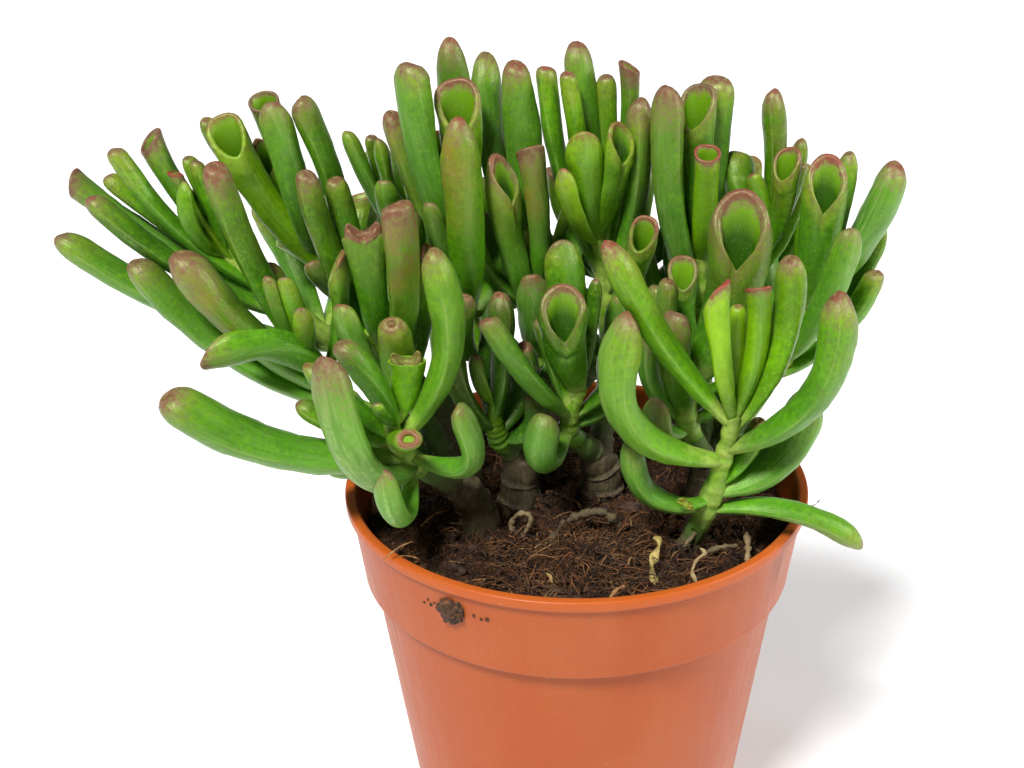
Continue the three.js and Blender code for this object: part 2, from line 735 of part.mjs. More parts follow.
// The soil: its sides follow the pot's inner wall, its top is lumpy, and each trunk has a plain hole in it.
function soilSolid() {
  const profile = potProfile();
  const [brim, step, foot] = [profile.at(-4), profile.at(-3), profile.at(-2)];
  const flats = Math.cos(Math.PI / pot.sides);
  const share = (soil.level - step.y) / (brim.y - step.y);
  const topRadius = lerp(step.x, brim.x, share) * flats - soil.gap;
  const ring = (radius, height) =>
    Array.from({ length: soil.sectors }, (_, j) => {
      const turn = (2 * Math.PI * j) / soil.sectors;
      const p = new THREE.Vector3(radius * Math.cos(turn), radius * Math.sin(turn), 0);
      p.z = height === null ? soilHeight(p.x, p.y) : height;
      return p;
    });
  const rings = [
    ring(foot.x * flats - soil.gap, foot.y + soil.gap),
    ring(step.x * flats - soil.gap, step.y),
  ];
  for (let i = soil.rings; i > 0; i--) rings.push(ring((topRadius * i) / soil.rings, null));
  const bottom = new THREE.Vector3(0, 0, foot.y + soil.gap);
  let made = skinSolid(rings, bottom, new THREE.Vector3(0, 0, soilHeight(0, 0)));
  for (const trunk of Object.values(trunks)) {
    const [x, y] = trunk.path[0];
    const radius = (trunk.radius + soil.gap) / Math.cos(Math.PI / stemForm.woodSides);
    const ends = [soil.holeFloor, soil.holeTop];
    const hole = ends.map((z) => ({ at: vec([x, y, z]), along: up, radius }));
    made = made.subtract(barSolid(hole, stemForm.woodSides));
  }
  return made;
}

// Where each trunk, arm and stem runs. Wood and green part at a joint, with a hair's gap between their faces.
function growSkeleton() {
  const [trunkLines, armLines, stemLines] = [{}, {}, {}];
  for (const [name, trunk] of Object.entries(trunks)) {
    const [ground, top] = trunk.path.map(vec);
    const line = new THREE.LineCurve3(ground, top);
    const fork = top.clone().addScaledVector(line.getTangent(1), -stemForm.forkDepth * trunk.radius);
    trunkLines[name] = line;
    for (const [shoot, end] of Object.entries(trunk.arms)) {
      armLines[shoot] = new THREE.LineCurve3(fork, vec(end));
      const along = armLines[shoot].getTangent(1);
      const start = vec(end).addScaledVector(along, soil.gap);
      const tip = vec(shoots[shoot].top);
      const bend = start.clone().addScaledVector(along, start.distanceTo(tip) / 2);
      stemLines[shoot] = new THREE.QuadraticBezierCurve3(start, bend, tip);
    }
  }
  return { trunkLines, armLines, stemLines };
}

// A trunk: upright in its hole, leaning above it, with a domed top that its arms start well inside.
function trunkSolid(name, { trunkLines, armLines }) {
  const { radius, arms } = trunks[name];
  const line = trunkLines[name];
  const along = line.getTangent(0);
  const ground = line.getPoint(0);
  const foot = ground.clone().setZ(soil.holeFloor + soil.gap);
  const top = line.getPoint(1);
  const shoulder = top.clone().addScaledVector(along, -stemForm.dome * radius);
  const sections = [
    { at: foot, along: up, radius },
    { at: ground, along: up, radius },
    { at: shoulder, along, radius },
    { at: top, along, radius: stemForm.dome * radius },
  ];
  const limbs = Object.keys(arms).map((shoot) => {
    const arm = armLines[shoot];
    const thick = Math.min(stemForm.armRadius, stemForm.slimArm * radius);
    const ends = [
      { at: arm.getPoint(0), along: arm.getTangent(0), radius: thick },
      { at: arm.getPoint(1), along: arm.getTangent(1), radius: stemForm.greenRadius },
    ];
    return barSolid(ends, stemForm.sides);
  });
  const bole = barSolid(sections, stemForm.woodSides);
  return outerBody(limbs.reduce((whole, limb) => whole.add(limb), bole));
}

// A shoot: its green stem with every leaf fused to it.
function shootSolid(name, line, leaves) {
  const sections = stemForm.stations.map((s) => ({
    at: line.getPoint(s),
    along: line.getTangent(s),
    radius: lerp(stemForm.greenRadius, stemForm.tipRadius, s),
  }));
  const stem = barSolid(sections, stemForm.sides);
  const own = leaves.filter((leaf) => leaf.shoot === name);
  return outerBody(own.reduce((whole, leaf) => whole.add(leafSolid(leaf)), stem));
}

// A solid as a named mesh, its geometry measured from the given point and its place in the mesh's position.
function meshOf(name, solid, place, material) {
  const { numProp, vertProperties, triVerts } = solid.getMesh();
  const count = vertProperties.length / numProp;
  const flat = new Float32Array(count * 3);
  for (let i = 0; i < count; i++) {
    flat[3 * i] = vertProperties[numProp * i] - place.x;
    flat[3 * i + 1] = vertProperties[numProp * i + 1] - place.y;
    flat[3 * i + 2] = vertProperties[numProp * i + 2] - place.z;
  }
  const geometry = new THREE.BufferGeometry();
  geometry.setAttribute("position", new THREE.BufferAttribute(flat, 3));
  geometry.setIndex(new THREE.BufferAttribute(new Uint32Array(triVerts), 1));
  geometry.computeVertexNormals();
  const mesh = new THREE.Mesh(geometry, material);
  mesh.name = name;
  mesh.position.copy(place);
  return mesh;
}

function finish(color, roughness) {
  return new THREE.MeshStandardMaterial({ color, roughness, metalness: 0 });
}

const pottedJade = new THREE.Group();
const origin = new THREE.Vector3();
pottedJade.add(meshOf("pot", turnedSolid(potProfile(), pot.sides), origin, finish(colours.clay, 0.45)));
pottedJade.add(meshOf("soil", soilSolid(), vec([0, 0, pot.floor]), finish(colours.peat, 0.95)));

const plant = new THREE.Group();
const skeleton = growSkeleton();
const leaves = sproutLeaves(skeleton.stemLines);
clearLeaves(leaves, woodBeads(skeleton));
for (const name of Object.keys(trunks)) {
  const ground = skeleton.trunkLines[name].getPoint(0);
  plant.add(meshOf(name, trunkSolid(name, skeleton), ground, finish(colours.bark, 0.85)));
}
for (const [name, line] of Object.entries(skeleton.stemLines)) {
  const solid = shootSolid(name, line, leaves);
  plant.add(meshOf(`shoot_${name}`, solid, line.getPoint(0), finish(colours.green, 0.4)));
}
pottedJade.add(plant);

export default pottedJade;
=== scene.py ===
import math

import bpy
import numpy as np
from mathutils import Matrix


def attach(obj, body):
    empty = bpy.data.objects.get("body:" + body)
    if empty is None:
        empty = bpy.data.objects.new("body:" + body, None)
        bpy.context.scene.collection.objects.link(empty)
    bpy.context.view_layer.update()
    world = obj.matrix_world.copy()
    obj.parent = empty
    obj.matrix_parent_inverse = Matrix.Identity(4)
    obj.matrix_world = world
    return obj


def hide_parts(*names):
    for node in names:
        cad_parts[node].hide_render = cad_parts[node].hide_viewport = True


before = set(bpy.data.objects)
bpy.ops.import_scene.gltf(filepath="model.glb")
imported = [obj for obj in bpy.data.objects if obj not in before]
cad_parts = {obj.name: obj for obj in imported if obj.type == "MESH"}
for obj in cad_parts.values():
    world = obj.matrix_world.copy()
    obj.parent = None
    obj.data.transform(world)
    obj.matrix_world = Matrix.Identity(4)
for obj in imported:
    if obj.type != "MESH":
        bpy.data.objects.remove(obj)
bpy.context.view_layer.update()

mm = 0.001
up = np.array((0.0, 0.0, 1.0))

# The camera looks down at the plant from in front. Its place is in millimetres and its turn in degrees.
view = {
    "place": (0.0, -323.6, 279.8), "turn": (65.376, 1.127, 2.313), "lens": 49.219, "sensor": 36.0,
}


def makeCamera():
    data = bpy.data.cameras.new("camera")
    data.lens = view["lens"]
    data.sensor_width = view["sensor"]
    data.clip_start = 0.01
    camera = bpy.data.objects.new("camera", data)
    camera.location = [mm * v for v in view["place"]]
    camera.rotation_euler = [math.radians(v) for v in view["turn"]]
    bpy.context.scene.collection.objects.link(camera)
    bpy.context.scene.camera = camera


makeCamera()
print("camera placed")


# Small helpers for arrays of points.
def unit(v):
    return v / np.maximum(np.linalg.norm(v, axis=-1, keepdims=True), 1e-12)


def dot(a, b):
    return np.sum(a * b, axis=-1, keepdims=True)


# A bell of height 1 that has fallen to a third at x = 1.
def bell(x):
    return np.exp(-(x ** 2))


# Even shares up to 1, the first of them above nothing.
def evenShares(count):
    return np.arange(1, count + 1) / count


def smooth(x):
    x = np.clip(x, 0, 1)
    return x * x * (3 - 2 * x)


def mix(a, b, share):
    return a + (b - a) * share


# A cubic curve from a first to a last value at shares t, with its slope at both ends.
def cubicPiece(t, first, firstSlope, last, lastSlope):
    return (
        (1 + 2 * t) * (1 - t) ** 2 * first
        + t * (1 - t) ** 2 * firstSlope
        + t * t * (3 - 2 * t) * last
        + t * t * (t - 1) * lastSlope
    )


# The angles of a ring's corners.
def ringTurn(sides):
    return 2 * np.pi * np.arange(sides) / sides


# A repeatable number from 0 to 1 for each whole number n: the fraction of a large multiple of a sine.
def scatter(n):
    x = np.sin(np.asarray(n, float) * 12.9898 + 4.1414) * 43758.5453
    return x - np.floor(x)


# Lumps from -1 to 1 or so: a sum of plane waves in seeded directions, about size millimetres long.
def ripple(points, size, seed, waves=9, slow=0.6, quick=1.5):
    draw = np.random.default_rng(seed)
    way = unit(draw.normal(size=(waves, 3))) * draw.uniform(slow, quick, (waves, 1)) * (2 * np.pi / size)
    start = draw.uniform(0, 2 * np.pi, waves)
    return np.sin(points @ way.T + start).sum(axis=-1) / math.sqrt(waves)


# A quadratic curve through root and tip that leans to a belly point, at shares s of its length.
def curvePoint(root, belly, tip, s):
    return root * (1 - s) ** 2 + belly * (2 * s * (1 - s)) + tip * s * s


def curveWay(root, belly, tip, s):
    return unit((belly - root) * (1 - s) + (tip - belly) * s)


# Quads of a skin through a row of rings that have equal numbers of corners. Every ring is closed.
def ringQuads(rings, sides):
    row = np.arange(rings - 1)[:, None] * sides
    j = np.arange(sides)[None, :]
    k = (j + 1) % sides
    return np.stack([row + j, row + k, row + k + sides, row + j + sides], axis=-1).reshape(-1, 4)


# Triangles that close the first and last ring on a point each, given by their numbers.
def endFans(rings, sides, startPoint, endPoint):
    j = np.arange(sides)
    k = (j + 1) % sides
    last = (rings - 1) * sides
    first = np.stack([np.full(sides, startPoint), k, j], axis=-1)
    final = np.stack([last + j, last + k, np.full(sides, endPoint)], axis=-1)
    return np.concatenate([first, final])


# A part is a dictionary of points, quads, triangles and per-point values. This puts several into one.
def joinParts(parts):
    counts = np.cumsum([0] + [len(p["points"]) for p in parts])
    whole = {"points": np.concatenate([p["points"] for p in parts])}
    for key in ("quads", "triangles"):
        rows = [p[key] + n for p, n in zip(parts, counts) if key in p and len(p[key])]
        whole[key] = np.concatenate(rows) if rows else np.zeros((0, 3), int)
    whole["values"] = {
        key: np.concatenate([p["values"][key] for p in parts]) for key in parts[0].get("values", {})
    }
    return whole


# A mesh piece from points in millimetres. Every name in values becomes an attribute on the points.
def makePiece(name, part, material, nodes=(), flat=False):
    mesh = bpy.data.meshes.new(name)
    mesh.vertices.add(len(part["points"]))
    mesh.vertices.foreach_set("co", (np.asarray(part["points"]) * mm).astype(np.float32).ravel())
    blocks = [part[key] for key in ("quads", "triangles") if key in part and len(part[key])]
    corners = np.concatenate([b.ravel() for b in blocks]).astype(np.int32)
    sizes = np.concatenate([np.full(len(b), b.shape[1]) for b in blocks])
    mesh.loops.add(len(corners))
    mesh.loops.foreach_set("vertex_index", corners)
    mesh.polygons.add(len(sizes))
    mesh.polygons.foreach_set("loop_start", (np.cumsum(sizes) - sizes).astype(np.int32))
    mesh.update(calc_edges=True)
    mesh.polygons.foreach_set("use_smooth", np.full(len(sizes), not flat))
    for key, rows in part.get("values", {}).items():
        rows = np.asarray(rows, np.float32)
        kind = {3: "FLOAT_VECTOR", 4: "FLOAT_COLOR"}[rows.shape[1]]
        held = mesh.attributes.new(key, kind, "POINT")
        held.data.foreach_set({3: "vector", 4: "color"}[rows.shape[1]], rows.ravel())
    mesh.materials.append(material)
    mesh.validate()
    piece = bpy.data.objects.new(name, mesh)
    bpy.context.scene.collection.objects.link(piece)
    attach(piece, "root")
    if nodes:
        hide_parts(*nodes)
    return piece


# Adds a shader node with its settings and inputs. An input is a value, or a socket to link from.
def addNode(tree, kind, inputs=None, **settings):
    node = tree.nodes.new(kind)
    for key, value in settings.items():
        setattr(node, key, value)
    for key, value in (inputs or {}).items():
        if isinstance(value, bpy.types.NodeSocket):
            tree.links.new(value, node.inputs[key])
        else:
            node.inputs[key].default_value = value
    return node


def mathNode(tree, operation, *values):
    node = addNode(tree, "ShaderNodeMath", dict(enumerate(values)), operation=operation)
    return node.outputs[0]


# The product, and the sum, of two or more values.
def times(tree, whole, *more):
    for value in more:
        whole = mathNode(tree, "MULTIPLY", whole, value)
    return whole


def plus(tree, whole, *more):
    for value in more:
        whole = mathNode(tree, "ADD", whole, value)
    return whole


# Reads a value and gives it back stretched from one range to another, held inside the second.
def rangeNode(tree, value, low, high, toLow=0.0, toHigh=1.0):
    inputs = {"Value": value, "From Min": low, "From Max": high, "To Min": toLow, "To Max": toHigh}
    return addNode(tree, "ShaderNodeMapRange", inputs).outputs[0]


def mixColour(tree, share, first, second):
    node = addNode(tree, "ShaderNodeMix", data_type="RGBA")
    for key, value in ((0, share), (6, first), (7, second)):
        if isinstance(value, bpy.types.NodeSocket):
            tree.links.new(value, node.inputs[key])
        else:
            node.inputs[key].default_value = value if key == 0 else (*value, 1.0)
    return node.outputs[2]


# Lays named colours over one another, each with its own share.
def layColours(tree, whole, colours, layers):
    for share, name in layers:
        whole = mixColour(tree, share, whole, colours[name])
    return whole


# A ramp through named colours, each at its place from 0 to 1.
def rampNode(tree, value, colours, stops):
    node = addNode(tree, "ShaderNodeValToRGB", {"Fac": value})
    ramp = node.color_ramp
    while len(ramp.elements) < len(stops):
        ramp.elements.new(0.5)
    for element, (place, name) in zip(ramp.elements, stops):
        element.position = place
        element.color = (*colours[name], 1.0)
    return node.outputs[0]


def noiseNode(tree, vector, scale, detail, roughness):
    inputs = {"Vector": vector, "Scale": scale, "Detail": detail, "Roughness": roughness}
    return addNode(tree, "ShaderNodeTexNoise", inputs).outputs[0]


# The noises that a look names.
def noises(tree, place, look, *names):
    return [noiseNode(tree, place, *look[name]) for name in names]


# How far each place is from the nearest of many scattered dots.
def dotsNode(tree, vector, scale):
    return addNode(tree, "ShaderNodeTexVoronoi", {"Vector": vector, "Scale": scale}).outputs["Distance"]


# A place with its height squeezed, so that a pattern on it runs up and down.
def drawnOut(tree, place, squeeze):
    return addNode(tree, "ShaderNodeMapping", {"Vector": place, "Scale": (1.0, 1.0, squeeze)}).outputs[0]


def startMaterial(name):
    material = bpy.data.materials.new(name)
    material.use_nodes = True
    tree = material.node_tree
    shader = tree.nodes["Principled BSDF"]
    place = addNode(tree, "ShaderNodeTexCoord").outputs["Object"]
    return material, tree, shader, place


# The four parts of a colour attribute.
def readAttribute(tree, name):
    node = addNode(tree, "ShaderNodeAttribute", attribute_name=name)
    parts = addNode(tree, "ShaderNodeSeparateColor", {0: node.outputs["Color"]})
    return (*parts.outputs, node.outputs["Alpha"])


# A sum of values, each by its weight.
def weighed(tree, values, weights):
    return plus(tree, *(times(tree, value, weight) for value, weight in zip(values, weights)))


# The constants of a look's shader.
def setShader(shader, look):
    for key, value in look.get("shader", {}).items():
        shader.inputs[key].default_value = value


# Links colour, roughness and relief to the shader. A look's relief has a strength and a depth in metres.
def finishShader(tree, shader, look, colour, rough, height):
    tree.links.new(colour, shader.inputs["Base Color"])
    tree.links.new(rough, shader.inputs["Roughness"])
    strength, depth = look["relief"]
    bump = addNode(tree, "ShaderNodeBump", {"Height": height, "Strength": strength, "Distance": depth})
    tree.links.new(bump.outputs[0], shader.inputs["Normal"])
    setShader(shader, look)


# The trunks: radius, the point where each leaves the soil, its top, and the ends of its arms.
trunks = {
    "trunk_left": {
        "radius": 4.2, "ground": (-24, -17, 103), "top": (-30, -18, 114),
        "arms": {"front_left": (-37, -24, 120), "low_left": (-44, -16, 124), "mid_left": (-38, -10, 127)},
    },
    "trunk_far_left": {
        "radius": 3.8, "ground": (-29, 4, 103), "top": (-36, 6, 114),
        "arms": {"far_left": (-46, 4, 125), "tall_left": (-43, 11, 130), "high_left": (-35, 12, 131)},
    },
    "trunk_middle": {
        "radius": 4.6, "ground": (-14, -9, 104), "top": (-15, -7, 118),
        "arms": {"top_left": (-21, -1, 130), "top_middle": (-11, 0, 130), "low_middle": (-18, -13, 121)},
    },
    "trunk_centre": {
        "radius": 4.8, "ground": (7, -2, 104), "top": (6, -2, 115),
        "arms": {"centre": (0, -10, 121), "top_right": (8, 5, 127)},
    },
    "trunk_front_right": {
        "radius": 2.8, "ground": (28, -27, 101), "top": (28, -27, 103),
        "arms": {"front_right": (30, -28, 107)},
    },
    "trunk_right": {
        "radius": 4, "ground": (33, -4, 103), "top": (34, -3, 113),
        "arms": {
            "inner_right": (29, -10, 122), "mid_right": (33, 3, 125),
            "high_right": (39, 7, 126), "far_right": (43, -1, 123),
        },
    },
    "trunk_back": {
        "radius": 4, "ground": (-3, 28, 104), "top": (-3, 29, 114),
        "arms": {"back_left": (-14, 32, 123), "back_middle": (6, 33, 124)},
    },
    "trunk_back_right": {
        "radius": 3.2, "ground": (30, 22, 101), "top": (31, 23, 105),
        "arms": {"back_right": (33, 26, 114)},
    },
}


# The green shoots. Each leaf is given by where it leaves the stem, its tip, its width and its bow, by its
# kind where it isn't a finger, and sometimes by the heading that its hollow faces: 0 to the front, 90 to the
# right.
shoots = {
    "front_left": {"top": (-43, -31, 138), "rear": 1, "leaves": [
        (0.25, (-62, -15, 116), 6.5, 2), (0.3, (-95, -34, 144), 12.5, 6),
        (0.15, (-44, -43, 130), 6.8, 12), (0.35, (-27.5, -33, 141), 7.5, 12),
        (0.12, (-54.5, -43, 158), 11, 9), (0.55, (-64.5, -30, 141), 6.5, 1),
        (0.75, (-52.5, -32, 157), 8.5, -4), (0.6, (-63.5, -26, 148), 6.5, 1),
        (0.6, (-32.5, -30, 178), 10, 7), (0.75, (-37, -46, 139), 6.8, 1, "trumpet"),
        (0.85, (-41.5, -27, 151), 9, 1, "notch", 0), (0.95, (-44.5, -34, 143), 3.5, 0),
    ]},
    "low_left": {"top": (-68, -14, 147), "rear": 2, "leaves": [
        (0.3, (-106, -8, 169), 9.5, 5), (0.5, (-93, -16, 173), 11.5, 3),
        (0.55, (-87, -24, 149), 8.5, -8, "spoon", 0), (0.45, (-79, -4, 139), 7.5, 3),
        (0.75, (-83.5, -14, 192.5), 8.5, 4), (0.8, (-69, -18, 166.5), 5, 1),
        (0.9, (-65, -21, 161), 5, 1), (0.95, (-72, -17, 167), 4.5, 1),
    ]},
    "far_left": {"top": (-88, 3, 166), "rear": 4, "rearAt": 135, "leaves": [
        (0.35, (-127, -1, 172), 9, 5), (0.55, (-117.5, -2, 182), 7.5, 4),
        (0.6, (-125, 9, 184), 8.5, 2, "trumpet", -90), (0.7, (-116, 8, 184), 6, 1),
        (0.7, (-109, 0, 193.5), 6.2, 3), (0.85, (-102, 5, 196), 8.5, 2, "trumpet", -60),
        (0.9, (-96.5, 1, 187), 4.6, 1, "trumpet"), (0.9, (-96, 8, 189.5), 5, 1),
        (0.95, (-92.5, 3, 188.5), 5, 1),
    ]},
    "tall_left": {"top": (-74, 7, 168), "rear": 3, "rearAt": 95, "leaves": [
        (0.35, (-64, -4, 166), 6, 2), (0.6, (-84, 4, 199), 9.8, 3, "cup", 10),
        (0.65, (-89.5, 11, 198), 6, 2), (0.7, (-78, 13, 202), 8, 2, "trumpet"),
        (0.8, (-72.5, 3, 203.5), 8, 3), (0.6, (-66, 7, 203.5), 8.2, 3),
        (0.9, (-60.5, 12, 189), 4, 1, "trumpet"),
    ]},
    "mid_left": {"top": (-51, -10, 150), "rear": 1, "leaves": [
        (0.2, (-55, -14, 160), 7, 3), (0.45, (-62, -8, 189), 7.2, 3),
        (0.5, (-40.5, -18, 185), 9.5, 3), (0.3, (-30, -12, 171), 7, 3, "spoon", 60),
        (0.75, (-49.5, -15, 180), 9.5, 2, "notch", 0), (0.8, (-58.5, -1, 185.5), 6.5, 2),
    ]},
    "high_left": {"top": (-45, 13, 170), "rear": 2, "leaves": [
        (0.5, (-33.5, 2, 179.5), 6, 2), (0.6, (-40, 8, 186.5), 7.5, 2),
        (0.7, (-54.5, 10, 195), 5.4, 1), (0.8, (-44, 7, 184), 6, 1),
        (0.85, (-50, 14, 192.5), 4.2, 1), (0.9, (-47, 12, 192), 5, 1),
    ]},
    "top_left": {"top": (-30, 5, 172), "rear": 3, "leaves": [
        (0.2, (-27, -13, 162), 8, 3), (0.45, (-26, -7, 202), 9, 5),
        (0.75, (-40, 6, 209), 10.5, 4), (0.6, (-35, -3, 181), 5, 1),
        (0.6, (-46, 12, 197), 8.5, 3), (0.9, (-29, 7, 206), 11.5, 2, "cup", 0),
        (0.8, (-28, 15, 217.3), 8, 2), (0.95, (-31, 0, 182), 4.5, 1),
    ]},
    "top_middle": {"top": (-13, 7, 170), "rear": 3, "leaves": [
        (0.1, (-4, -5, 150), 8.5, 3), (0.2, (-13, -9, 162), 9, 3),
        (0.4, (-18.5, -3, 190.5), 9.5, 4, "spoon", 40), (0.8, (-13.5, 10, 210.5), 8.8, 3),
        (0.6, (-11.5, 6, 192), 7.5, 2, "trumpet"), (0.7, (-21.5, 18, 210.5), 8.2, 2),
        (0.5, (-25, 1, 170), 5.5, 3),
    ]},
    "low_middle": {"top": (-20, -14, 134), "leaves": [
        (0.15, (-8, -17, 139), 8, 5), (0.3, (-9, -10, 148), 8.5, 4),
        (0.5, (-14, -3, 158), 8.5, 2), (0.4, (-29, -20, 152), 7.5, 3),
        (0.6, (-20, -9, 160), 7.5, 2), (0.9, (-23, -17, 147), 5, 1),
    ]},
    "centre": {"top": (2, -12, 137), "leaves": [
        (0.35, (12, -5, 140), 7, 4), (0.3, (-7, -20, 134), 9, 9),
        (0.55, (-21, -20, 156.5), 7, 5, "trumpet"), (0.6, (-10, -8, 152), 5, 1),
        (0.9, (-3, -15, 164), 10.5, 2, "spoon", 0), (0.6, (-7.5, -6, 170), 9, 1, "spoon", 30),
        (0.8, (4.5, -9, 163), 4, 1), (0.5, (12, -10, 146), 6, 3),
    ]},
    "top_right": {"top": (5, 8, 168), "rear": 2, "leaves": [
        (0.15, (11, -4, 157), 8, 3), (0.2, (-4, 1, 164), 8, 3),
        (0.45, (17.5, -2, 175), 7.5, 2, "cup", -20), (0.7, (-8, 13, 208), 6.5, 2),
        (0.6, (16.5, 6, 203), 8.5, 3), (0.7, (12.5, 12, 210.5), 6.5, 2, "trumpet", 90),
        (0.95, (-1.5, 0, 188), 6, 2), (0.7, (-2, 9, 207.5), 6, 1),
        (0.97, (3.8, 3, 195.5), 8, 1, "spoon", 180), (0.99, (8, 2, 197.5), 7.5, 1, "spoon", 40),
        (0.75, (0.5, 17, 214), 7.5, 1), (0.8, (7, 16, 207), 5.5, 1),
    ]},
    "front_right": {"top": (36, -34, 139), "leaves": [
        (0.12, (69, -31, 102.5), 7, -6), (0.15, (13.5, -31, 131), 8, 7),
        (0.3, (54, -27, 142), 11.5, 7), (0.25, (25, -36, 117), 5, 1, "notch"),
        (0.35, (43, -31, 136), 6, 2), (0.6, (12.8, -38, 166), 11.5, 13),
        (0.7, (57, -35, 169.5), 11, 9), (0.92, (6.5, -34, 181), 9, 2),
        (0.85, (47, -28, 175), 8.5, 5), (0.95, (41.3, -30, 169.5), 6.2, 4, "trumpet"),
        (0.97, (30.5, -37, 172.5), 8, 1, "cup", -60), (0.9, (37, -26, 163), 4.5, 1),
    ]},
    "inner_right": {"top": (31, -14, 148), "leaves": [
        (0.1, (20, -20, 137), 8, 5), (0.15, (18, -10, 150), 8, 4),
        (0.2, (43, -12, 146), 7.5, 4), (0.3, (23.5, -22, 160), 8.5, 3),
        (0.6, (37.5, -15, 185.5), 13, 4, "spoon", -10), (0.5, (22, -15, 165), 6.5, 2),
        (0.7, (26, -4, 166), 7.5, 2, "cup", 0), (0.5, (46, -20, 157), 6.5, 4),
    ]},
    "mid_right": {"top": (31, 6, 165), "rear": 2, "leaves": [
        (0.2, (20, 0, 158), 7.5, 3), (0.3, (39, -3, 162), 8, 3),
        (0.6, (20.5, 3, 206), 9.5, 4), (0.7, (25, 11, 198), 7, 2),
        (0.9, (31, -1, 192.5), 6.8, 2, "trumpet"), (0.75, (35.5, 14, 205.5), 9.5, 1, "notch"),
        (0.95, (29, 9, 204), 9.5, 1, "cup", -35), (0.5, (40, -3, 172), 6, 3),
    ]},
    "high_right": {"top": (45, 13, 166), "rear": 2, "leaves": [
        (0.7, (47, 12, 203.5), 7.5, 2), (0.75, (54.5, 14, 190.5), 5.2, 2),
        (0.85, (48, 6, 190.5), 7.5, 2, "cup", -40), (0.8, (53, 6, 186.5), 5, 1),
        (0.95, (44.5, 7, 184), 4.5, 1),
    ]},
    "far_right": {"top": (61, 3, 157), "rear": 3, "rearAt": 105, "leaves": [
        (0.3, (74, 3, 160.5), 7, 4), (0.5, (76, 12, 170), 7.5, 4),
        (0.4, (64.5, -9, 175.5), 7.5, 4), (0.85, (76.5, 4, 187.5), 10.5, 3, "notch", 60),
        (0.8, (59.5, -2, 190.5), 9.8, 3, "spoon", 0), (0.9, (66, 8, 189), 6, 1),
    ]},
    "back_left": {"top": (-36, 40, 154), "around": 11},
    "back_middle": {"top": (3, 43, 158), "around": 11},
    "back_right": {"top": (40, 36, 152), "around": 11},
}


# The sizes of stems and leaves, and the five kinds of tip. Girth is the share of full width at each station.
leafForm = {
    "thickness": 0.82, "axisLift": 10, "inwardRise": 6, "faceRise": 0.3, "rimStart": 1.3,
    "rimLead": 0.1, "cupShift": 0.12, "stations": (0, 0.28, 0.6, 0.89, 1),
}
kindNames = ("finger", "trumpet", "cup", "spoon", "notch")
fingerKind, spoonKind, notchKind = (kindNames.index(name) for name in ("finger", "spoon", "notch"))
kinds = {
    "girth": np.array((
        (0.36, 0.84, 1, 0.88, 0.42),
        (0.36, 0.74, 0.84, 0.86, 1),
        (0.36, 0.68, 0.78, 0.96, 1.02),
        (0.36, 0.78, 0.96, 1, 0.7),
        (0.36, 0.68, 0.78, 0.9, 1),
    )),
    "slant": np.array((0.1, 0.4, 1, 1.4, 0.12)),
    "cup": np.array((0.1, 0.6, 0.5, 0.35, 0.35)),
    "spread": np.array((1, 1, 1, 1, 1.25)),
}
stemForm = {
    "armRadius": 3.4, "greenRadius": 2.7, "tipRadius": 1.6, "forkDepth": 0.8, "slimArm": 0.85,
    "gap": 0.3,
}
growth = {
    "quarterTurn": math.pi / 2, "waver": 0.5, "length": (44, 24), "lengthDraw": (0.85, 1.1),
    "width": (9.6, 6), "widthDraw": (0.85, 1.15), "rise": (0.55, 1.25), "riseDraw": (-0.15, 0.15),
    "riseMost": 1.45, "seat": (0.45, 0.96), "bow": 4, "inwardLift": 0.6, "inwardTrim": 0.2,
    "rearAt": 90, "rearSpread": 2.2, "drawStep": 40, "kinds": (0, 0, 1, 0, 3, 1, 0, 2),
}


# Where each arm and each green stem runs, as the ends of straight arms and the three points of curved stems.
def growSkeleton():
    armLines, stemLines = {}, {}
    for trunk in trunks.values():
        ground, top = (np.array(trunk[key], float) for key in ("ground", "top"))
        fork = top - unit(top - ground) * stemForm["forkDepth"] * trunk["radius"]
        for shoot, end in trunk["arms"].items():
            end = np.array(end, float)
            along = unit(end - fork)
            start = end + along * stemForm["gap"]
            tip = np.array(shoots[shoot]["top"], float)
            bend = start + along * np.linalg.norm(tip - start) / 2
            armLines[shoot] = (fork, end)
            stemLines[shoot] = (start, bend, tip)
    return armLines, stemLines


# Belly point of a leaf that bows out and down: half way from root to tip, and twice the bow across the chord.
def bellyPoint(root, tip, bow, axis):
    chord = unit(tip - root)
    sag = unit(np.array((tip[0] - axis[0], tip[1] - axis[1], 0.0))) - up
    sag = unit(sag - chord * (sag @ chord))
    return (root + tip) / 2 + sag * 2 * bow


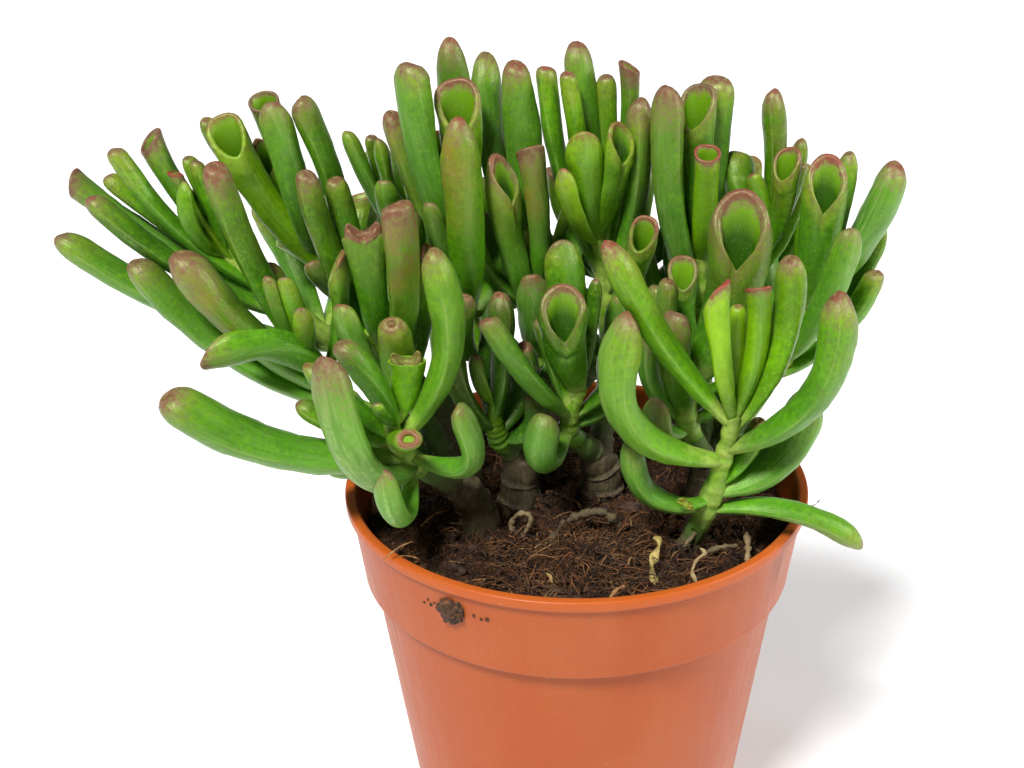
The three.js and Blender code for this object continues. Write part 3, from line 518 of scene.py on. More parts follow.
# Leaves that the growth rule adds: spread round a heading, or in crossed pairs on all sides.
def ruledLeaves(count, seed, line, axis, heading=None):
    made = []
    pairs = math.ceil(count / 2)
    for k in range(count):
        def draw(n):
            return float(scatter(seed + k + growth["drawStep"] * n))

        pair = k // 2
        level = pair / (pairs - 1) if pairs > 1 else 0.5
        if heading is None:
            turn = pair * growth["quarterTurn"] + (k % 2) * math.pi
        else:
            turn = math.radians(heading) + growth["rearSpread"] * ((k + 0.5) / count - 0.5)
        turn += growth["waver"] * (draw(0) - 0.5)
        away = math.hypot(axis[0], axis[1])
        inward = max(0, -(axis[0] * math.cos(turn) + axis[1] * math.sin(turn)) / away)
        lift = growth["inwardLift"] * inward + mix(*growth["riseDraw"], draw(1))
        rise = min(growth["riseMost"], mix(*growth["rise"], level) + lift)
        full = mix(*growth["length"], level) * mix(*growth["lengthDraw"], draw(2))
        length = full * (1 - growth["inwardTrim"] * inward)
        width = mix(*growth["width"], level) * mix(*growth["widthDraw"], draw(3))
        seat = mix(*growth["seat"], level)
        root = curvePoint(*line, seat)
        reach = length * math.cos(rise)
        tip = root + np.array((reach * math.cos(turn), reach * math.sin(turn), length * math.sin(rise)))
        kind = growth["kinds"][int(len(growth["kinds"]) * draw(4))]
        made.append((root, tip, width, growth["bow"], kind, None, seat))
    return made


# All leaves as arrays, one row each, before they make room.
def sproutLeaves(stemLines):
    rows = []
    for index, (name, shoot) in enumerate(shoots.items()):
        line = stemLines[name]
        axis = line[2] + up * leafForm["axisLift"]
        own = []
        for seat, tip, width, bow, *rest in shoot.get("leaves", ()):
            number = kindNames.index(rest[0]) if rest else fingerKind
            face = rest[1] if len(rest) > 1 else None
            own.append((curvePoint(*line, seat), np.array(tip, float), width, bow, number, face, seat))
        seed = 1000 * (index + 1)
        own += ruledLeaves(shoot.get("rear", 0), seed, line, axis, shoot.get("rearAt", growth["rearAt"]))
        own += ruledLeaves(shoot.get("around", 0), seed, line, axis)
        for place, (root, tip, width, bow, kind, face, seat) in enumerate(own):
            face = np.nan if face is None else face
            belly = bellyPoint(root, tip, bow, axis)
            rows.append((root, belly, tip, axis, width, kind, face, index, place, seat))
    names = ("root", "belly", "tip", "axis", "width", "kind", "face", "shoot", "place", "seat")
    return {name: np.array([row[i] for row in rows]) for i, name in enumerate(names)}


# How leaves make room for each other: beads along them push apart, mostly to the front or the back.
makeRoom = {
    "rounds": 260, "step": 0.22,
    "beads": np.array((0.14, 0.3, 0.46, 0.62, 0.78, 0.94)),
    "clearance": 1.3, "crowding": -0.6, "joined": 0.36, "ownStem": 0.5,
    "woodBeads": np.array((0, 0.2, 0.4, 0.6, 0.8, 1)),
    "woodPush": 2, "tipStep": 1.2, "bellyStep": 1.6, "overSoil": 1, "overRim": 0.8,
    "rimBand": (-6, 5),
    "back": np.array((0, 0.92, -0.39)),
    "sideways": 0.45, "depthBias": 0.5, "reach": 30, "lookAgain": 20,
}

potForm = {
    "height": 105, "rimRadius": 60, "lipHeight": 2.6, "lipStand": 1.2, "lipTop": 2.4,
    "collarHeight": 23.5, "collarStep": 2.2, "slope": 0.13, "wall": 1.5, "floor": 2.2, "sides": 192,
}
soilForm = {
    "level": 97.5, "mound": 4, "moundPower": 1.2, "inset": 4, "lumps": 0.9, "fineLumps": 0.6,
    "lumpsEnd": 1.3,  # the share of its radius where lumps would die out
    "waves": (0.23, 0.19, 0.41, 0.37),
}


# Height of the soil's top: a mound that falls to the wall, and two crossed sets of waves.
def soilHeight(x, y):
    out = np.hypot(x, y) / (potForm["rimRadius"] - soilForm["inset"])
    mound = soilForm["mound"] * np.cos(np.pi / 2 * np.minimum(1, out)) ** soilForm["moundPower"]
    a, b, c, d = soilForm["waves"]
    lump = np.sin(a * x + 1) * np.cos(b * y) + soilForm["fineLumps"] * np.sin(c * x - d * y)
    return soilForm["level"] + mound + soilForm["lumps"] * lump * np.clip(soilForm["lumpsEnd"] - out, 0, 1)


# The least height for a leaf's underside over the soil, or over the rim, or none outside the pot.
def clearHeight(points):
    out = np.hypot(points[..., 0], points[..., 1])
    inside, outside = (potForm["rimRadius"] + v for v in makeRoom["rimBand"])
    overSoil = soilHeight(points[..., 0], points[..., 1]) + makeRoom["overSoil"]
    overRim = potForm["height"] + makeRoom["overRim"]
    return np.where(out > outside, 0, np.where(out > inside, overRim, overSoil))


# The direction from one bead to another, its sideways share cut down and its depth share never nothing.
def wayOut(apart):
    back = makeRoom["back"]
    depth = apart @ back
    nudge = makeRoom["depthBias"] * np.exp(-depth * depth)
    return unit((apart - depth[:, None] * back) * makeRoom["sideways"] + (depth + nudge)[:, None] * back)


# Girth at shares s of the length, read straight between the stations.
def girthAt(kind, s):
    return np.interp(s, leafForm["stations"], kinds["girth"][kind])


# Moves tips and bellies a little in each round, until no two leaves run through each other.
def clearLeaves(leaves, armLines, stemLines):
    shares = makeRoom["beads"]
    count = len(leaves["width"])
    half = leaves["width"][:, None] / 2
    radius = half * np.stack([girthAt(kind, shares) for kind in leaves["kind"]])
    byTip, byBelly = shares ** 2, 2 * shares * (1 - shares)
    pull = makeRoom["step"] * np.stack([byTip, byBelly], axis=-1) / (byTip ** 2 + byBelly ** 2)[:, None]
    woodAt, woodRadius, woodShoot = [], [], []
    s = makeRoom["woodBeads"][:, None]
    names = list(shoots)
    lines = [
        (np.array(t["ground"], float), np.array(t["top"], float), t["radius"], -1) for t in trunks.values()
    ]
    lines += [(*armLines[n], stemForm["armRadius"], names.index(n)) for n in armLines]
    for first, last, size, owner in lines:
        woodAt.append(first + (last - first) * s)
        woodRadius += [size] * len(s)
        woodShoot += [owner] * len(s)
    for name in stemLines:
        woodAt.append(curvePoint(*stemLines[name], s))
        woodRadius += [stemForm["greenRadius"]] * len(s)
        woodShoot += [names.index(name)] * len(s)
    woodAt, woodRadius, woodShoot = np.concatenate(woodAt), np.array(woodRadius), np.array(woodShoot)
    first, second = np.triu_indices(count, 1)
    root, belly, tip = leaves["root"], leaves["belly"], leaves["tip"]
    owner = leaves["shoot"]
    for turn in range(makeRoom["rounds"]):
        beads = curvePoint(root[:, None], belly[:, None], tip[:, None], shares[:, None])
        if turn % makeRoom["lookAgain"] == 0:
            middle = beads.mean(axis=1)
            spread = np.linalg.norm(beads - middle[:, None], axis=-1).max(axis=1)
            gap = np.linalg.norm(middle[first] - middle[second], axis=-1) - spread[first] - spread[second]
            near = gap < makeRoom["reach"]
            a, b = first[near], second[near]
            same = owner[a] == owner[b]
            apart = np.where(same, makeRoom["crowding"], makeRoom["clearance"])
            limit = radius[a][:, :, None] + radius[b][:, None, :] + apart[:, None, None]
            low = shares < makeRoom["joined"]
            limit[same[:, None, None] & low[:, None] & low[None, :]] = -1
            leafToWood = np.linalg.norm(middle[:, None] - woodAt[None], axis=-1) - spread[:, None]
            c, w = np.nonzero(leafToWood < makeRoom["reach"])
        moves = np.zeros((2, count, 3))

        def nudge(rows, bead, way, amount):
            for part in range(2):
                step = way * (amount * pull[bead, part])[:, None]
                for axis in range(3):
                    moves[part][:, axis] += np.bincount(rows, step[:, axis], count)

        between = beads[a][:, :, None] - beads[b][:, None, :]
        excess = limit - np.linalg.norm(between, axis=-1)
        pair, p, q = np.nonzero(excess > 0)
        way, amount = wayOut(between[pair, p, q]), excess[pair, p, q]
        nudge(a[pair], p, way, amount)
        nudge(b[pair], q, way, -amount)
        between = beads[c] - woodAt[w][:, None]
        excess = radius[c] + woodRadius[w][:, None] + makeRoom["clearance"] - np.linalg.norm(between, axis=-1)
        own = (woodShoot[w] == owner[c])[:, None] & (shares < makeRoom["ownStem"])[None]
        pair, p = np.nonzero((excess > 0) & ~own)
        nudge(c[pair], p, wayOut(between[pair, p]), makeRoom["woodPush"] * excess[pair, p])
        sunk = clearHeight(beads) + radius - beads[..., 2]
        rows, p = np.nonzero(sunk > 0)
        nudge(rows, p, np.tile(up, (len(rows), 1)), sunk[rows, p])
        for part, most in ((0, makeRoom["tipStep"]), (1, makeRoom["bellyStep"])):
            size = np.linalg.norm(moves[part], axis=-1, keepdims=True)
            moves[part] *= np.minimum(1, most / np.maximum(size, 1e-12))
        tip = tip + moves[0]
        belly = belly + moves[1]
    leaves["tip"], leaves["belly"] = tip, belly


armLines, stemLines = growSkeleton()
leaves = sproutLeaves(stemLines)
clearLeaves(leaves, armLines, stemLines)
print("skeleton grown,", len(leaves["width"]), "leaves cleared")


# The look of leaves. Every value on the points is a share from 0 to 1, and the material turns it to colour.
# Values in rows of five are for the five kinds of tip.
leafLook = {
    "sides": 24, "outerRings": 26, "lipRings": 4, "bowlRings": 8,
    "ringCrowding": 1.5,  # how closely rings crowd toward the tip
    "lip": np.array((0.1, 0.055, 0.07, 0.085, 0.1)),  # radius of the rolled rim, in leaf widths
    "cup": np.array((0.07, 0.8, 0.85, 0.8, 0.4)),  # depth of the hollow, in leaf widths
    "notch": np.array((0, 0, 0, 0, 0.46)),  # how far the middle of the rim dips, in leaf widths
    "corner": np.array((0, 0, 0, 0, 0.34)),  # how far its two corners are rounded down, in leaf widths
    "round": np.array((2, 1.15, 1.4, 2, 2)),  # 1 cuts the rim off flat, and 2 draws it down to a point
    "vee": np.array((0, 0, 0.2, 0.8, 0)),  # how far the low end of the rim closes to a point
    "veePower": 2.2,
    "pinch": np.array((0, 0, 0.05, 0.12, 0.42)),  # how much the rim is flattened
    "groove": np.array((0, 0, 0, 0.5, 0.22)),  # how deep a fold runs down the front below the rim
    "grooveWidth": 0.34,  # radians
    "edge": (0.045, 26),  # how far the two long edges stand out, and how sharp they are
    "slimFront": (0.25, 0.07, 0.7),  # a veed rim is slimmer in front: where, how wide and by how much
    "lens": 0.3,  # how much the lower leaf thins toward its edges
    "channel": 0.3,  # how much flatter its inner side is there
    "lumps": 0.018,
    "ripples": ((9, 0.012), (3.4, 0.006)),  # size in millimetres and height in leaf widths
    "lipFree": 0.42,  # the most that a rim takes of the way to its middle
    "capRoll": 0.5,  # how far a notched end rolls over
    "capDip": 0.4,  # how far it sinks, as a share of its notch
    "roundedDown": (0.65, 1.5),  # how far below the tip a spread rim is rounded off, and how sharply
    # where along the leaf a change starts, and over what share of its length it comes in
    "comesIn": {
        "spread": (0.58, 0.3), "fold": (0.4, 0.4), "pinch": (0.7, 0.3), "thickness": (0.5, 0.4),
        "blush": (0.3, 0.5), "sheenBand": (0.08, 0.3),
    },
}

# A finger's tip, from cut off flat (-1) over blunt (0) to pointed (1): how far down it starts to narrow, the
# share of its width that is left, and the two powers of its outline.
fingerTip = {
    "point": (-1, 0, 1), "height": (0.28, 0.5, 1.15), "rim": (0.72, 0.40, 0.22),
    "power": (3.0, 2.6, 2.0), "root": (2.0, 2.0, 1.6), "dimple": (0.01, -0.02, -0.025),
    "roll": (0.66, 0.52, 0.5),
    "girth": (0.95, 0.88),  # at the last two stations, because the tip is rounded off on its own
}

# Leaves that look unlike their neighbours, by shoot and place in its list. Grey is bloom, blush is red-brown
# down one side, and side its angle. Brown is the tip's colour, which is full where nothing is said, reach how
# far it comes down in leaf widths, red a scarlet end, young yellow-green, point the form of a finger's tip,
# and deep a painted shade, the darker green that stands for the shade the leaf is in. Face, kind and belly
# replace the leaf's own.
leafMarks = {
    "front_left": {
        0: dict(grey=0.4, brown=0.3), 1: dict(grey=0.6, brown=0.8, reach=0.28, point=0.1),
        2: dict(grey=0.8, reach=0.35, red=0.3, point=0.3), 3: dict(grey=0.8, brown=0.3, point=0.1),
        4: dict(grey=0.85, reach=0.6, blush=0.25, red=0.2, point=0.2, side=3.4,
            belly=(-50.8, -49.9, 120.7)),
        5: dict(grey=0.1, brown=0.8, young=0.3, point=0.6), 6: dict(grey=0.2, brown=0.8, point=0.2),
        8: dict(grey=0.35, brown=0.7, reach=0.4, young=0.35, point=0.45),
        9: dict(brown=0.75, reach=0.12, young=0.6, kind=0, point=-1),
        10: dict(brown=0.5, reach=0.12, young=0.3),
    },
    "low_left": {
        0: dict(grey=0.6, brown=0.9, reach=0.5, point=0.3),
        1: dict(grey=0.35, blush=0.75, brown=0.9, reach=0.9, point=0.3),
        2: dict(grey=0.1, brown=0.9, reach=0.3, face=245), 4: dict(blush=0.75, reach=0.9, point=-0.1),
    },
    "far_left": {
        0: dict(grey=0.6, brown=0.9, reach=0.3, point=0.4),
        1: dict(grey=0.2, brown=0.9, reach=0.35, point=0.2), 2: dict(grey=0.5, reach=0.4),
        4: dict(grey=0.2, brown=0.9, reach=0.3, point=-0.2), 5: dict(grey=0.3, reach=0.4),
        6: dict(reach=0.5, red=1.0, young=0.9),
    },
    "tall_left": {
        1: dict(brown=0.35, reach=0.12, young=0.6), 4: dict(grey=0.2, brown=0.8, reach=0.5, point=0.5),
        5: dict(grey=0.2, brown=0.9, reach=0.5, point=0.1),
    },
    "mid_left": {
        1: dict(blush=0.6, reach=0.7, point=0.0),
        2: dict(blush=1.0, grey=0.1, reach=1.1, point=-0.7), 3: dict(brown=0.8, blush=0.3),
        4: dict(grey=0.25, reach=0.35, blush=0.2), 5: dict(brown=0.7, reach=0.3, grey=0.1),
    },
    "high_left": {
        2: dict(grey=0.5, brown=0.2, point=0.4),
    },
    "top_left": {
        1: dict(blush=0.9, brown=0.9, reach=0.6, red=0.6, side=3.4, point=0.95),
        2: dict(grey=0.3, reach=0.45, point=0.1),
        4: dict(blush=0.6, grey=0.4, brown=0.9, reach=0.8, point=0.4), 5: dict(reach=0.2, young=0.6),
        6: dict(grey=0.55, blush=0.15, brown=0.9, reach=0.7, point=0.9),
    },
    "top_middle": {
        2: dict(blush=0.35, grey=0.35, reach=0.4, face=62),
        3: dict(grey=0.6, blush=0.2, brown=0.9, reach=0.5, point=0.15),
        4: dict(blush=1.0, grey=0.25, reach=0.8), 5: dict(grey=0.75, brown=0.8, reach=0.7, point=0.7),
    },
    "centre": {
        1: dict(grey=0.5, brown=0.35, deep=0.55),
        2: dict(grey=0.3, reach=0.3, kind=0, point=-0.8, deep=0.35),
        4: dict(grey=0.1, brown=0.85, reach=0.1, deep=0.45),
        5: dict(brown=0.6, reach=0.1, deep=0.2, face=200),
    },
    "top_right": {
        2: dict(grey=0.3, brown=0.8, reach=0.3), 3: dict(grey=0.1, reach=0.35, red=0.7, point=-0.4),
        4: dict(grey=0.3, blush=0.3, reach=0.8, point=0.5), 5: dict(grey=0.1, reach=0.9),
        6: dict(young=0.7, blush=0.3, brown=0.8, reach=0.4, red=0.8, point=1.0),
        7: dict(young=0.2, brown=0.9, reach=0.2, point=-0.3), 8: dict(young=0.4, brown=0.3),
        9: dict(young=0.3, brown=0.5, reach=0.12), 10: dict(grey=0.55, reach=0.7, point=0.6),
    },
    "front_right": {
        0: dict(grey=0.45, brown=0.7, blush=0.3, reach=0.3, point=0.8), 1: dict(grey=0.6, brown=0.5),
        2: dict(grey=0.65, brown=0.3, point=0.4), 3: dict(grey=0.2, brown=0.0),
        5: dict(grey=0.45, blush=0.25, side=3.0, reach=0.28, red=0.4, point=0.7, young=0.3),
        6: dict(grey=0.3, reach=0.45, red=0.5, blush=0.15, point=0.65),
        7: dict(grey=0.1, blush=0.45, reach=0.5, red=0.8, point=0.85, young=0.2),
        8: dict(young=0.45, brown=0.9, reach=0.35, point=0.45),
        9: dict(young=0.7, reach=0.25, red=0.7, face=180),
        10: dict(young=1.0, reach=0.25, red=1.0, face=-118), 11: dict(young=0.8, brown=0.5),
    },
    "inner_right": {
        3: dict(blush=0.6, reach=0.5, point=0.2), 4: dict(grey=0.2, blush=0.35, reach=0.5, red=0.3),
        6: dict(grey=0.1, brown=0.8, reach=0.2),
    },
    "mid_right": {
        2: dict(blush=0.9, grey=0.3, reach=0.9, point=0.6), 4: dict(young=0.6, reach=0.3, red=0.6, face=0),
        5: dict(grey=0.3, brown=0.9, reach=0.4, kind=0, point=0.15), 6: dict(grey=0.2, reach=0.2),
    },
    "high_right": {
        0: dict(blush=0.4, reach=0.6, point=0.6), 2: dict(blush=0.4, brown=0.9, reach=0.4),
    },
    "far_right": {
        2: dict(grey=0.3, brown=0.6, point=0.5),
        3: dict(grey=0.85, brown=0.9, reach=0.5, kind=0, point=0.6), 4: dict(grey=0.25, reach=0.2, red=0.6),
        5: dict(grey=0.3, brown=0.9, reach=0.4, point=0.8),
    },
}

# Painted shade: shoots that stand low in the shade of others get darker green leaves and stems.
shadePaintedShoots = {"low_middle": 1.0, "centre": 0.7, "back_middle": 0.5, "inner_right": 0.4, "mid_left": 0.1}
markNames = ("tone", "grey", "blush", "brown", "young", "red", "reach", "point", "side", "phase")


# One row of marks for each leaf. Unlisted leaves are greyer low on the stem and yellower near its tip.
def markRows(leaves):
    number = 97 * leaves["shoot"] + leaves["place"]
    seat = leaves["seat"]
    draws = {name: scatter(number + 900 + i) for i, name in enumerate(markNames)}
    rows = {
        "tone": draws["tone"],
        # Painted shade: how much darker green the leaf is laid for the shade its shoot stands in.
        "deep": np.array([shadePaintedShoots.get(name, 0.0) for name in shoots])[leaves["shoot"]],
        "grey": np.clip(0.5 - 0.6 * seat + 0.5 * (draws["grey"] - 0.4), 0, 1),
        "blush": 0.5 * draws["blush"] ** 3,
        "brown": 0.5 + 0.5 * draws["brown"],
        "young": np.clip(1.5 * (seat - 0.6), 0, 1) * draws["young"],
        "red": 0.5 * draws["red"],
        "reach": mix(0.15, 0.55, draws["reach"] ** 2),
        "point": mix(-0.2, 0.9, draws["point"]),
        "side": 2 * np.pi * draws["side"],
        "phase": 100 * draws["phase"],
    }
    names = list(shoots)
    for row, (shoot, place) in enumerate(zip(leaves["shoot"], leaves["place"])):
        marks = leafMarks.get(names[shoot], {}).get(int(place))
        if marks is None:
            continue
        rows["grey"][row] = rows["blush"][row] = rows["young"][row] = 0
        rows["brown"][row] = 1
        for key, value in marks.items():
            held = leaves if key in ("face", "kind", "belly") else rows
            held[key][row] = value
    return rows


# The inward and across directions at points of leaves. Inward faces the shoot's axis, or a listed heading.
def leafFrame(leaves, at, along):
    axis = leaves["axis"].reshape(-1, 1, 1, 3)
    inward = axis - at
    inward[..., 2] = np.maximum(inward[..., 2], 0) + leafForm["inwardRise"]
    heading = np.radians(leaves["face"])
    rise = np.full(len(heading), leafForm["faceRise"])
    listed = np.stack([np.sin(heading), -np.cos(heading), rise], axis=-1)
    given = ~np.isnan(heading)
    inward[given] = listed[given].reshape(-1, 1, 1, 3)
    inward = unit(inward - along * dot(inward, along))
    return inward, np.cross(inward, along)


# Girth off a smooth curve through a kind's stations: cubic pieces with the slopes of their neighbours' chord.
def smoothGirth(kind, s):
    stations = np.array(leafForm["stations"], float)
    dense = np.linspace(0, 1, 201)
    made = np.zeros(s.shape)
    for number in range(len(kindNames)):
        girth = kinds["girth"][number].astype(float)
        if number == fingerKind:
            girth[3:] = fingerTip["girth"]
        slope = np.gradient(girth, stations)
        i = np.clip(np.searchsorted(stations, dense, side="right") - 1, 0, len(stations) - 2)
        span = stations[i + 1] - stations[i]
        t = (dense - stations[i]) / span
        curve = cubicPiece(t, girth[i], span * slope[i], girth[i + 1], span * slope[i + 1])
        mine = kind == number
        made[mine] = np.interp(s[mine], dense, curve)
    return made


# A value for each leaf as a block that stretches over its rings and sides.
def perLeaf(values):
    return np.asarray(values).reshape(-1, 1, 1)


# How far a named change has come in at shares of the leaf's length.
def comesIn(share, name):
    start, over = leafLook["comesIn"][name]
    return smooth((share - start) / over)


# How much a finger narrows toward its tip, by how far below the tip a ring lies, in leaf widths.
def fingerDome(marks, fromTip):
    height, rim, power, root = (
        perLeaf(np.interp(marks["point"], fingerTip["point"], fingerTip[key]))
        for key in ("height", "rim", "power", "root")
    )
    x = np.clip(1 - fromTip / height, 0, 1)
    return rim + (1 - rim) * np.maximum(0, 1 - x ** power) ** (1 / root)


# The outer wall: rings along the bent line. A ring's half width is half the leaf's width times its girth, and
# its inner side slides down the line by the slant of the rim.
def leafWalls(leaves, marks, turn, share, length):
    kind, width = leaves["kind"], perLeaf(leaves["width"])
    cos, sin = np.cos(turn), np.sin(turn)
    line = [leaves[key].reshape(-1, 1, 1, 3) for key in ("root", "belly", "tip")]
    slant, spread = (perLeaf(kinds[key][kind]) for key in ("slant", "spread"))
    sharp, vee, pinch, notch, corner = (
        perLeaf(leafLook[key][kind]) for key in ("round", "vee", "pinch", "notch", "corner")
    )
    drop = slant * width / length
    start = 1 - leafForm["rimStart"] * drop - leafForm["rimLead"]
    ramp = smooth((share - start) / (1 - start))
    fromFront = np.abs((turn / np.pi - 0.5 + 1) % 2 - 1)
    slope = mix(((1 + sin) / 2) ** sharp, (1 - fromFront) ** leafLook["veePower"], vee)
    dip = (notch * np.abs(sin) ** 3 + corner * cos ** 6) * width / length
    here = share - (drop * slope + dip) * ramp
    girth = smoothGirth(kind, here)
    fromTip = (1 - share) * length / width
    girth = np.where(perLeaf(kind == fingerKind), girth * fingerDome(marks, fromTip), girth)
    phase = perLeaf(marks["phase"])
    lumps = np.sin(2 * turn + phase + 5 * share) + 0.6 * np.sin(3 * turn - 2 * phase - 8 * share)
    lumps = lumps + np.sin(9 * share + 3 * phase) + 0.7 * np.sin(17 * share + phase)
    edgeRise, edgeSharp = leafLook["edge"]
    edge = edgeRise * np.abs(cos) ** edgeSharp * smooth(3 * share) * smooth(2 * fromTip)
    girth = girth * (1 + leafLook["lumps"] * lumps * smooth(4 * share) + edge)
    below, sharpness = leafLook["roundedDown"]
    flare = 1 + (spread - 1) * comesIn(share, "spread") * (1 - smooth(1 - fromTip / below) ** sharpness)
    fold = bell((turn - np.pi / 2) / leafLook["grooveWidth"]) * comesIn(share, "fold")
    half = width / 2 * girth * (1 - perLeaf(leafLook["groove"][kind]) * fold)
    leafy = 1 - comesIn(share, "thickness")
    thick = leafForm["thickness"] * (1 - pinch * comesIn(share, "pinch")) / flare
    thick = thick * (1 - leafLook["lens"] * leafy * cos ** 2)
    thick = thick * (1 - leafLook["channel"] * leafy * np.maximum(sin, 0))
    at, along = curvePoint(*line, here[..., None]), curveWay(*line, here[..., None])
    inward, across = leafFrame(leaves, at, along)
    outward = across * (half * flare * cos)[..., None] + inward * (half * thick * sin)[..., None]
    wall = at + outward
    bumps = sum(rise * ripple(wall, size, 21 + i) for i, (size, rise) in enumerate(leafLook["ripples"]))
    bumps = bumps * width * smooth(6 * share) * smooth(12 * (1 - share) + 0.3)
    return wall + unit(outward) * bumps[..., None]


# The rolled rim: half circles that rise from the wall's last ring and turn down toward the middle.
def leafLips(leaves, marks, wall):
    rim, below = wall[:, -1], wall[:, -2]
    rise = unit(rim - below)
    forward = unit(np.roll(rim, -1, axis=1) - np.roll(rim, 1, axis=1))
    toMiddle = unit(np.cross(forward, rise))
    spoke = rim.mean(axis=1, keepdims=True) - rim
    toMiddle = toMiddle * np.sign(dot(spoke, toMiddle).mean(axis=1, keepdims=True))
    free = leafLook["lipFree"] * np.linalg.norm(spoke, axis=-1).min(axis=1)
    size = np.minimum(leafLook["lip"][leaves["kind"]] * leaves["width"], free).reshape(-1, 1, 1, 1)
    vee = leafLook["vee"][leaves["kind"]].reshape(-1, 1, 1, 1)
    slimAt, slimWidth, slimBy = leafLook["slimFront"]
    front = bell((np.arange(rim.shape[1]) / rim.shape[1] - slimAt) / slimWidth).reshape(1, 1, -1, 1)
    size = size * (1 - slimBy * vee * front)
    whole = np.interp(marks["point"], fingerTip["point"], fingerTip["roll"])
    whole = np.where(leaves["kind"] == fingerKind, whole, 1)
    whole = np.where(leaves["kind"] == notchKind, leafLook["capRoll"], whole)
    roll = np.pi * whole.reshape(-1, 1, 1, 1) * evenShares(leafLook["lipRings"]).reshape(1, -1, 1, 1)
    return rim[:, None] + size * ((1 - np.cos(roll)) * toMiddle[:, None] + np.sin(roll) * rise[:, None])


# The hollow: rings that run from the lip's inner edge to a floor point as quarters of a swollen ellipse.
def leafBowls(leaves, marks, lips, length):
    kind, width = leaves["kind"], perLeaf(leaves["width"])
    line = [leaves[key].reshape(-1, 1, 1, 3) for key in ("root", "belly", "tip")]
    edge = lips[:, -1]
    slant = perLeaf(kinds["slant"][kind])
    depth = 1 - (0.5 * slant + perLeaf(leafLook["cup"][kind])) * width / length
    floor = curvePoint(*line, depth[..., None])
    rise = unit(line[2] - floor)[:, 0]
    inward, _ = leafFrame(leaves, floor, curveWay(*line, depth[..., None]))
    shift = leafForm["cupShift"] * width * np.minimum(1, slant)
    floor = (floor - inward * shift[..., None])[:, 0]
    dimple = perLeaf(np.interp(marks["point"], fingerTip["point"], fingerTip["dimple"])) * width
    dip = leafLook["capDip"] * leafLook["notch"][notchKind] * width
    dimple = np.where(perLeaf(kind == notchKind), dip, dimple)
    cap = edge.mean(axis=1, keepdims=True) - rise * dimple
    floor = np.where(perLeaf((kind == fingerKind) | (kind == notchKind)), cap, floor)
    reach = edge - floor
    high = dot(reach, rise)
    wide = reach - rise * high
    count = leafLook["bowlRings"]
    bend = (np.pi / 2 * np.arange(1, count) / count).reshape(1, -1, 1, 1)
    bowl = floor[:, None] + wide[:, None] * np.cos(bend) + (rise * high)[:, None] * (1 - np.sin(bend))
    return bowl, floor


# How the values of the skin run over a leaf. Rows of five are for the five kinds of tip.
leafTint = {
    "tipFade": 1.3,  # how sharply the brown of a tip ends
    "slanted": 0.9,  # a rim with more slant than this is less brown on its low side
    "lowSide": (0.65, 1.2),  # by how much less, and how narrow that side is
    "openTip": -0.3,  # fingers cut off flatter than this show their hollow
    "rimBrown": 0.12,
    "bowlBrown": (0.45, 9),  # at the top of the hollow, and how soon it fades
    "blushAround": 0.15,
    "frost": (0.25, 0.75, 0.8),  # bloom all round, more of it on the outer side, and how it grows there
    "frostDown": (1.2, 0.5),
    # A pale band of bloom along the middle of each broad face, which is also a painted highlight.
    "sheenBand": (0.15, 0.3, 0.15),  # where a pale band runs along the side, how wide, and how it fades inward
    # From lipDim on: the lip takes the hollow's yellow-green, and further down the hollow turns darker green
    # as painted shade, more in spoons, up to a most for each kind of tip.
    "sheenBandStrength": 0.3, "lipDim": 0.4, "bowlShadeDown": 0.6, "spoonShade": 0.35,
    "deepestShade": np.array((0.42, 0.72, 1, 1, 0.42)),
    "run": 0.12,  # how slowly the skin's streaks change along a leaf
    "apart": 30,  # how far apart the streaks of two leaves start
    "bowlRun": 3,
}


